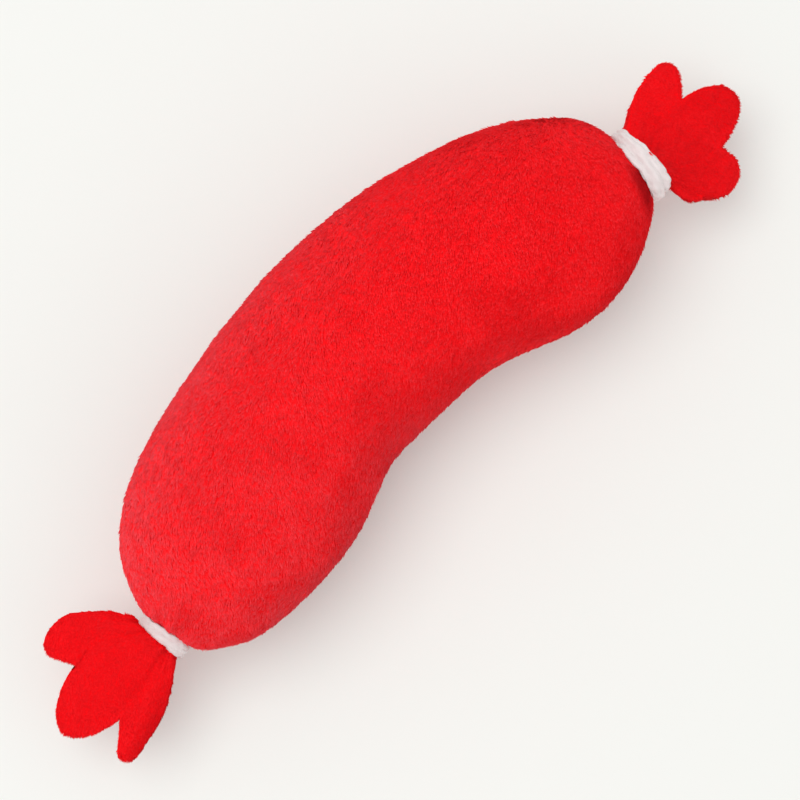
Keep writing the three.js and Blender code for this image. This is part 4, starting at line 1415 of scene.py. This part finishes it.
def build_stitch_tree():
    tree, g = new_modifier_tree("stitches", [
        ("Spacing", "NodeSocketFloat", STITCH_SPACING * METRES),
        ("Length", "NodeSocketFloat", STITCH_LENGTH * METRES),
        ("Thickness", "NodeSocketFloat", STITCH_THICKNESS * METRES),
        ("Across", "NodeSocketFloat", 0.0),
        ("Seed", "NodeSocketInt", 1),
        ("Finish", "NodeSocketMaterial", None),
    ])
    given = g.add("NodeGroupInput")
    path = g.add("GeometryNodeMeshToCurve", {}, {"Mesh": given["Geometry"]})
    even = g.add("GeometryNodeResampleCurve", {"mode": "LENGTH"}, {
        "Curve": path, "Length": given["Spacing"],
    })
    points = g.add("GeometryNodeCurveToPoints", {"mode": "EVALUATED"}, {"Curve": even}, "Points")
    along = vector_times(g, points["Tangent"], 1 - given["Across"])
    across = vector_times(g, named(g, "across", "FLOAT_VECTOR"), given["Across"])
    heading = vector_sum(g, along, across, random_vector(g, STITCH_UNEVEN, given["Seed"]))
    turned = g.add("FunctionNodeAlignRotationToVector", {"axis": "X"}, {"Vector": heading})
    long = given["Length"] * random_between(g, *STITCH_SPREAD, given["Seed"] + 1)
    size = g.add("ShaderNodeCombineXYZ", {}, {0: long, 1: given["Thickness"], 2: given["Thickness"]})
    thread = g.add("GeometryNodeMeshUVSphere", {}, {
        "Segments": STITCH_SEGMENTS, "Rings": STITCH_RINGS, "Radius": 0.5,
    }, "Mesh")
    end_tree(g, repeated(g, points, thread, turned, size), given["Finish"])
    return tree


stitch_tree = build_stitch_tree()
print("stitch tree:", len(stitch_tree.nodes), "nodes")


def sew(name, path, across, slot, finish, seed, closed=False, **values):
    """Stitches along a path of points in millimetres, which rest on the lower side."""
    count = len(path)
    edges = [(i, (i + 1) % count) for i in range(count - (not closed))]
    emitter = add_mesh("path", path, [], {"across": across}, edges)
    piece = grow(name, emitter, stitch_tree, {"Finish": finish, "Seed": seed, **values})
    print(name, len(piece.data.polygons) // (STITCH_SEGMENTS * STITCH_RINGS), "stitches")
    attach(piece, "lower_side")


# %% [markdown]
# The opening that the toy was filled through is on the inner side of its bend. Its two edges are
# drawn together by hand with red stitches across the seam, which sink into its furrow.

# %% Closing seam
CLOSING_HALF = 15
CLOSING_LIFT = 0.15
CLOSING_STITCH = 2.6
CLOSING_ACROSS = 0.86

closing = np.flatnonzero(np.abs(stations) < CLOSING_HALF)
beside = unit(body[:, columns_each + 1] - body[:, columns_each - 1])
raised = body + body_normals * CLOSING_LIFT
sew("closing_stitches", raised[closing, columns_each], beside[closing], "plush", red_thread_finish,
    seed=61, Across=CLOSING_ACROSS, Length=CLOSING_STITCH * METRES)

# %% [markdown]
# The stuffing and the squeaker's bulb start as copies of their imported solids. Loose triangles are
# merged first. A voxel remesh then gives even small faces, whose points can be moved one by one.

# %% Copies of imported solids
JOINED_WITHIN = 0.001 * METRES


def merged_copy(name, node):
    """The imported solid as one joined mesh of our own."""
    piece = add_object(name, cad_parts[node].data.copy())
    joined = bmesh.new()
    joined.from_mesh(piece.data)
    bmesh.ops.remove_doubles(joined, verts=joined.verts, dist=JOINED_WITHIN)
    joined.to_mesh(piece.data)
    joined.free()
    return piece


def modify(piece, kind, **settings):
    """Put one modifier on a piece and apply it."""
    modifier = piece.modifiers.new("once", kind)
    for key, value in settings.items():
        setattr(modifier, key, value)
    mesh = evaluated_mesh(piece)
    piece.modifiers.clear()
    piece.data = mesh
    mesh.name = piece.name
    mesh.shade_smooth()
    return piece


def remeshed_copy(name, node, voxel):
    return modify(merged_copy(name, node), "REMESH", mode="VOXEL", voxel_size=voxel * METRES)


def read_points(piece):
    """Points of a piece in millimetres, and their normals."""
    count = len(piece.data.vertices)
    points, normals = np.empty(count * 3, np.float32), np.empty(count * 3, np.float32)
    piece.data.vertices.foreach_get("co", points)
    piece.data.vertices.foreach_get("normal", normals)
    return points.reshape(-1, 3) / METRES, normals.reshape(-1, 3)


def write_points(piece, points):
    piece.data.vertices.foreach_set("co", np.ravel(points * METRES).astype(np.float32))
    piece.data.update()


# %% [markdown]
# Loose polyester fibre is packed round the squeaker's pouch in four wads. Each is such a copy, a
# little smaller than its solid, and noise presses tufts and hollows into it.

# %% Stuffing
WAD_VOXEL = 1.5
WAD_INSET = 0.5
WAD_TUFTS = 0.7
WAD_SEAM_INSET = 0.8
WAD_SEAM_REACH = 2.4
WAD_TUFT_SIZES = (5, 2.4)
WADS = {"left": 71, "right": 72, "over": 73, "under": 74}
SQUEAKER_HEIGHT = float(seam_height(0.0))


def make_wad(label, seed):
    wad = remeshed_copy("wad_" + label, "stuffing_" + label, WAD_VOXEL)
    points, normals = read_points(wad)
    large, small = [
        noise_over(points[None], size, seed + i)[0] for i, size in enumerate(WAD_TUFT_SIZES)]
    at_seam = hump(points[:, 2], SQUEAKER_HEIGHT, WAD_SEAM_REACH)
    pressed = WAD_TUFTS * np.clip(0.5 + large + 0.6 * small, 0, 1.2)
    inset = WAD_INSET + pressed + WAD_SEAM_INSET * at_seam
    write_points(wad, points - normals * inset[:, None])
    dress(wad, fibre_finish)
    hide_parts("stuffing_" + label)
    carry(wad, label != "under")
    print(wad.name, len(wad.data.polygons), "faces")


for label, seed in WADS.items():
    make_wad(label, seed)

# %% [markdown]
# The pouch is two oval cloths, sewn together round a flat rim so that the squeaker can't work its
# way out of the stuffing. A square grid pressed into an oval has no pole, and folds into puckers
# where the dome meets the rim.

# %% Squeaker pouch
POUCH_HALF_LENGTH = 31
POUCH_HALF_WIDTH = 18.75
POUCH_RIM = 4
POUCH_DOME = 8.9
POUCH_CLOTH = 0.55
POUCH_GAP = 0.15
POUCH_STEPS = 56
PUCKERS = 26
PUCKER_HEIGHT = 0.22
PUCKER_PAST_DOME, PUCKER_REACH = 0.8, 1.5
CRUMPLE_HEIGHT = 0.1
CRUMPLE_SIZE = 6
RIM_STITCH_INSET = 1.7
RIM_STITCH_LIFT = 0.12
RIM_STEPS = 160

pouch_finish = plain_cloth_finish("nonwoven_cloth", (219, 216, 206), (240, 237, 229), scale=1100,
                                  roughness=0.8, height=0.2)


def pouch_grid(side):
    steps = np.linspace(-1, 1, POUCH_STEPS + 1)
    a, b = np.meshgrid(steps, steps, indexing="ij")
    x, y = a * np.sqrt(1 - b ** 2 / 2), b * np.sqrt(1 - a ** 2 / 2)
    reach = np.hypot(x, y) * POUCH_HALF_LENGTH
    dome = POUCH_HALF_LENGTH - POUCH_RIM
    swell = POUCH_DOME * np.sqrt(np.clip(1 - (reach / dome) ** 2, 0, 1))
    pucker = PUCKER_HEIGHT * (1 + np.cos(PUCKERS * np.arctan2(y, x)))
    pucker = pucker * hump(reach, dome + PUCKER_PAST_DOME, PUCKER_REACH)
    grid = np.stack([x * POUCH_HALF_LENGTH, y * POUCH_HALF_WIDTH, 0 * x], -1)
    crumple = CRUMPLE_HEIGHT * np.abs(noise_over(grid, CRUMPLE_SIZE, 81 + side))
    grid[..., 2] = SQUEAKER_HEIGHT + side * (POUCH_GAP + POUCH_CLOTH + swell + pucker + crumple)
    return grid


def make_pouch(label, side):
    grid = pouch_grid(side)[:, ::side]
    normals = grid_normals(grid)
    normals = normals * np.sign(normals[..., 2:] * side + 1e-9)
    shell = shell_of(grid, POUCH_CLOTH, out=normals)
    piece = shell_piece("pouch_" + label, *shell, pouch_finish, "pouch_cloth")
    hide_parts(f"pouch_{label}_cloth")
    carry(piece, side > 0)
    area = flat_area(grid)


def sew_pouch(label, side):
    turn = np.linspace(0, 2 * np.pi, RIM_STEPS, endpoint=False)
    height = SQUEAKER_HEIGHT + side * (POUCH_GAP + POUCH_CLOTH + RIM_STITCH_LIFT)
    rim = np.stack([(POUCH_HALF_LENGTH - RIM_STITCH_INSET) * np.cos(turn),
                    (POUCH_HALF_WIDTH - RIM_STITCH_INSET) * np.sin(turn),
                    np.full_like(turn, height)], -1)
    sew("pouch_stitches_" + label, rim, np.zeros_like(rim), "pouch_cloth", thread_finish,
        seed=84 + side, closed=True)


for label, side in (("upper", 1), ("lower", -1)):
    make_pouch(label, side)
    sew_pouch(label, side)

# %% [markdown]
# The squeaker is a squat hollow bulb blown from milky plastic, with a neck that holds the reed. Its
# copy is remeshed finely, and its points are then put back on the true ball and neck, which takes
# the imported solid's flats away and leaves a soft fillet between the two.

# %% Squeaker bulb
BULB_RADIUS = 14
BULB_HALF_HEIGHT = 8.5
BULB_WALL = 1
BULB_NECK_RADIUS = 4.8
BULB_VOXEL = 0.4
BULB_SMOOTHING = 8
FILLET_GAP = 0.4
FILLET = 1.6
FACES_ALONG = 0.6  # past this share along the neck, a face belongs to its flat mouth
CLOUD_SCALE = 260
MOULD_LINE = 0.3 * METRES

bulb_finish, g, shader, place = new_finish("milky_plastic", {
    "Specular IOR Level": 0.45,
    "Subsurface Weight": 0.2,
    "Subsurface Radius": (0.003, 0.003, 0.0028),
    "Subsurface Scale": 1.0,
})
cloudy = g.noise(place, CLOUD_SCALE, 3.0)
height = g.add("ShaderNodeSeparateXYZ", {}, {0: place}, "Z")
from_middle = (height - SQUEAKER_HEIGHT * METRES).maths("ABSOLUTE")
mould_line = g.ranged(from_middle, (0.0, MOULD_LINE), 1.0, 0.0)
milky = g.mix_colour(cloudy, colour(236, 233, 224), colour(247, 245, 238))
feed(g, shader, Base_Color=milky, Roughness=0.38 + cloudy * 0.14,
     Normal=g.bump(mould_line * 0.6 + cloudy * 0.15, 0.6, 0.3 * METRES))


def ball_share(points, wall):
    """How far out each point is, where 1 lies on the ball with that much of its wall taken off."""
    across, high = BULB_RADIUS - wall, BULB_HALF_HEIGHT - wall
    x, y, z = points.T
    return np.sqrt((x ** 2 + y ** 2) / across ** 2 + (z / high) ** 2)


def make_bulb():
    bulb = remeshed_copy("bulb", "squeaker_bulb", BULB_VOXEL)
    modify(bulb, "SMOOTH", factor=0.5, iterations=BULB_SMOOTHING)
    points, normals = read_points(bulb)
    points = points - (0, 0, SQUEAKER_HEIGHT)
    x = points[:, 0]
    from_neck = np.hypot(points[:, 1], points[:, 2])
    outer, inner = ball_share(points, 0), ball_share(points, BULB_WALL)
    share = np.where(np.abs(outer - 1) < np.abs(inner - 1), outer, inner)
    clear_of_neck = smooth((from_neck - BULB_NECK_RADIUS - FILLET_GAP) / FILLET)
    on_ball = clear_of_neck * (x > 0) + (x <= 0)
    pull = (1 - 1 / np.maximum(share, 0.1)) * on_ball
    reached = points * (1 - pull)[:, None]
    middle_of_wall = BULB_NECK_RADIUS - BULB_WALL / 2
    radius = np.where(from_neck > middle_of_wall, BULB_NECK_RADIUS, BULB_NECK_RADIUS - BULB_WALL)
    on_neck = smooth((x - BULB_RADIUS - FILLET_GAP) / FILLET) * (np.abs(normals[:, 0]) <= FACES_ALONG)
    scale = mix(1, radius / np.maximum(from_neck, 0.1), on_neck)
    reached[:, 1:] *= scale[:, None]
    write_points(bulb, reached + (0, 0, SQUEAKER_HEIGHT))
    dress(bulb, bulb_finish)
    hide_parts("squeaker_bulb")
    carry(bulb, squeezed=True)
    print("bulb:", len(bulb.data.polygons), "faces")


make_bulb()

# %% [markdown]
# The reed mechanism is small and hard: a tray with the air channel, a clamp and a blade of film
# between them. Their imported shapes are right, so they stay and only get better finishes.

# %% Finishes of the reed parts
REED_FLOW = (0.25, 1, 1)


def moulded_finish(name, dark, light, roughness, scale, height, constants):
    """Moulded plastic: faint flow marks along the part and a fine spark-eroded grain."""
    material, g, shader, place = new_finish(name, constants)
    flow = g.noise(g.scaled(place, REED_FLOW), scale, 3.0)
    grain = g.noise(place, scale * 9)
    feed(g, shader, Base_Color=g.mix_colour(flow, colour(*dark), colour(*light)),
         Roughness=roughness + flow * 0.1 + grain * 0.08,
         Normal=g.bump(flow * 0.5 + grain * 0.5, 0.5, height * METRES))
    return material


reed_finish = moulded_finish("reed_plastic_moulded", (206, 212, 218), (226, 230, 233), roughness=0.22,
                             scale=420, height=0.06,
                             constants={"Specular IOR Level": 0.5, "Coat Weight": 0.1})
film_finish = moulded_finish("reed_film_drawn", (190, 184, 158), (212, 207, 180), roughness=0.14,
                             scale=900, height=0.03, constants={"Specular IOR Level": 0.6})
for node, finish in (("reed_tray", reed_finish), ("reed_clamp", reed_finish), ("reed_blade", film_finish)):
    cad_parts[node].data.materials[0] = finish
print("reed parts finished:", reed_finish.name, film_finish.name)

# %% [markdown]
# The scene is a pale table top under soft light. A broad key lamp stands at the side that the toy's
# bend points to, a weak lamp fills the other side, and the sky gives the rest. The shadow falls
# softly, and takes up red light from the plush. To the camera alone the table also glows a little,
# which keeps it pale without more light on the toy.

# %% Table, light and sky
TABLE_PALE = colour(238, 238, 234)
TABLE_GRAIN = colour(237, 235, 230)
TABLE_GLOW = colour(243, 250, 247)
TABLE_CORNERS = np.array([[-1, -1, 0], [1, -1, 0], [1, 1, 0], [-1, 1, 0]])
TABLE_HALF = 3000.0
GRAIN_SCALE = 60
GLOW_SHARE = 0.18
SKY_STRENGTH = 0.71
LAMP_AIM = Vector((0, -10, 20)) * METRES
# Power, place and width of each lamp
LAMPS = {
    "key": (9.4, (-0.24, 0.34, 1.38), 1.2),
    "fill": (0.75, (0.1, -0.9, 0.45), 0.8),
}

table_finish, g, shader, place = new_finish("table_top", {"Specular IOR Level": 0.2})
grain = g.noise(place, GRAIN_SCALE, 4.0)
feed(g, shader, Base_Color=g.mix_colour(grain * 0.25, TABLE_PALE, TABLE_GRAIN),
     Roughness=0.7 + grain * 0.1)
seen = g.add("ShaderNodeLightPath", {}, {}, "Is Camera Ray")
glow = g.add("ShaderNodeEmission", {}, {"Color": TABLE_GLOW, "Strength": 1.0})
matt = Wire(g, shader, shader.outputs["BSDF"])
bright = g.add("ShaderNodeMixShader", {}, {0: seen * GLOW_SHARE, 1: matt, 2: glow})
g.tree.links.new(bright.socket, g.tree.get_output_node("ALL").inputs["Surface"])

table = add_mesh("table", TABLE_CORNERS * TABLE_HALF, [(0, 1, 2, 3)])
table.data.materials.append(table_finish)

for name, (power, place, width) in LAMPS.items():
    lamp = add_object(name, bpy.data.lights.new(name, "AREA"))
    lamp.data.shape = "DISK"
    lamp.data.size = width
    lamp.data.energy = power
    lamp.location = place
    lamp.rotation_euler = (LAMP_AIM - lamp.location).to_track_quat("-Z", "Y").to_euler()

sky = bpy.data.worlds.new("sky")
bpy.context.scene.world = sky
sky.use_nodes = True
sky.node_tree.nodes.clear()
g = Graph(sky.node_tree)
seen = g.add("ShaderNodeLightPath", {}, {}, "Is Camera Ray")
lit = g.add("ShaderNodeBackground", {}, {"Color": (1, 1, 1, 1), "Strength": SKY_STRENGTH})
shown = g.add("ShaderNodeBackground", {}, {"Color": TABLE_PALE, "Strength": 1.0})
both = g.add("ShaderNodeMixShader", {}, {0: seen, 1: lit, 2: shown})
g.add("ShaderNodeOutputWorld", {}, {"Surface": both})
bpy.context.scene.view_settings.view_transform = "Standard"
print("lamps:", list(LAMPS), "and a sky of", SKY_STRENGTH)
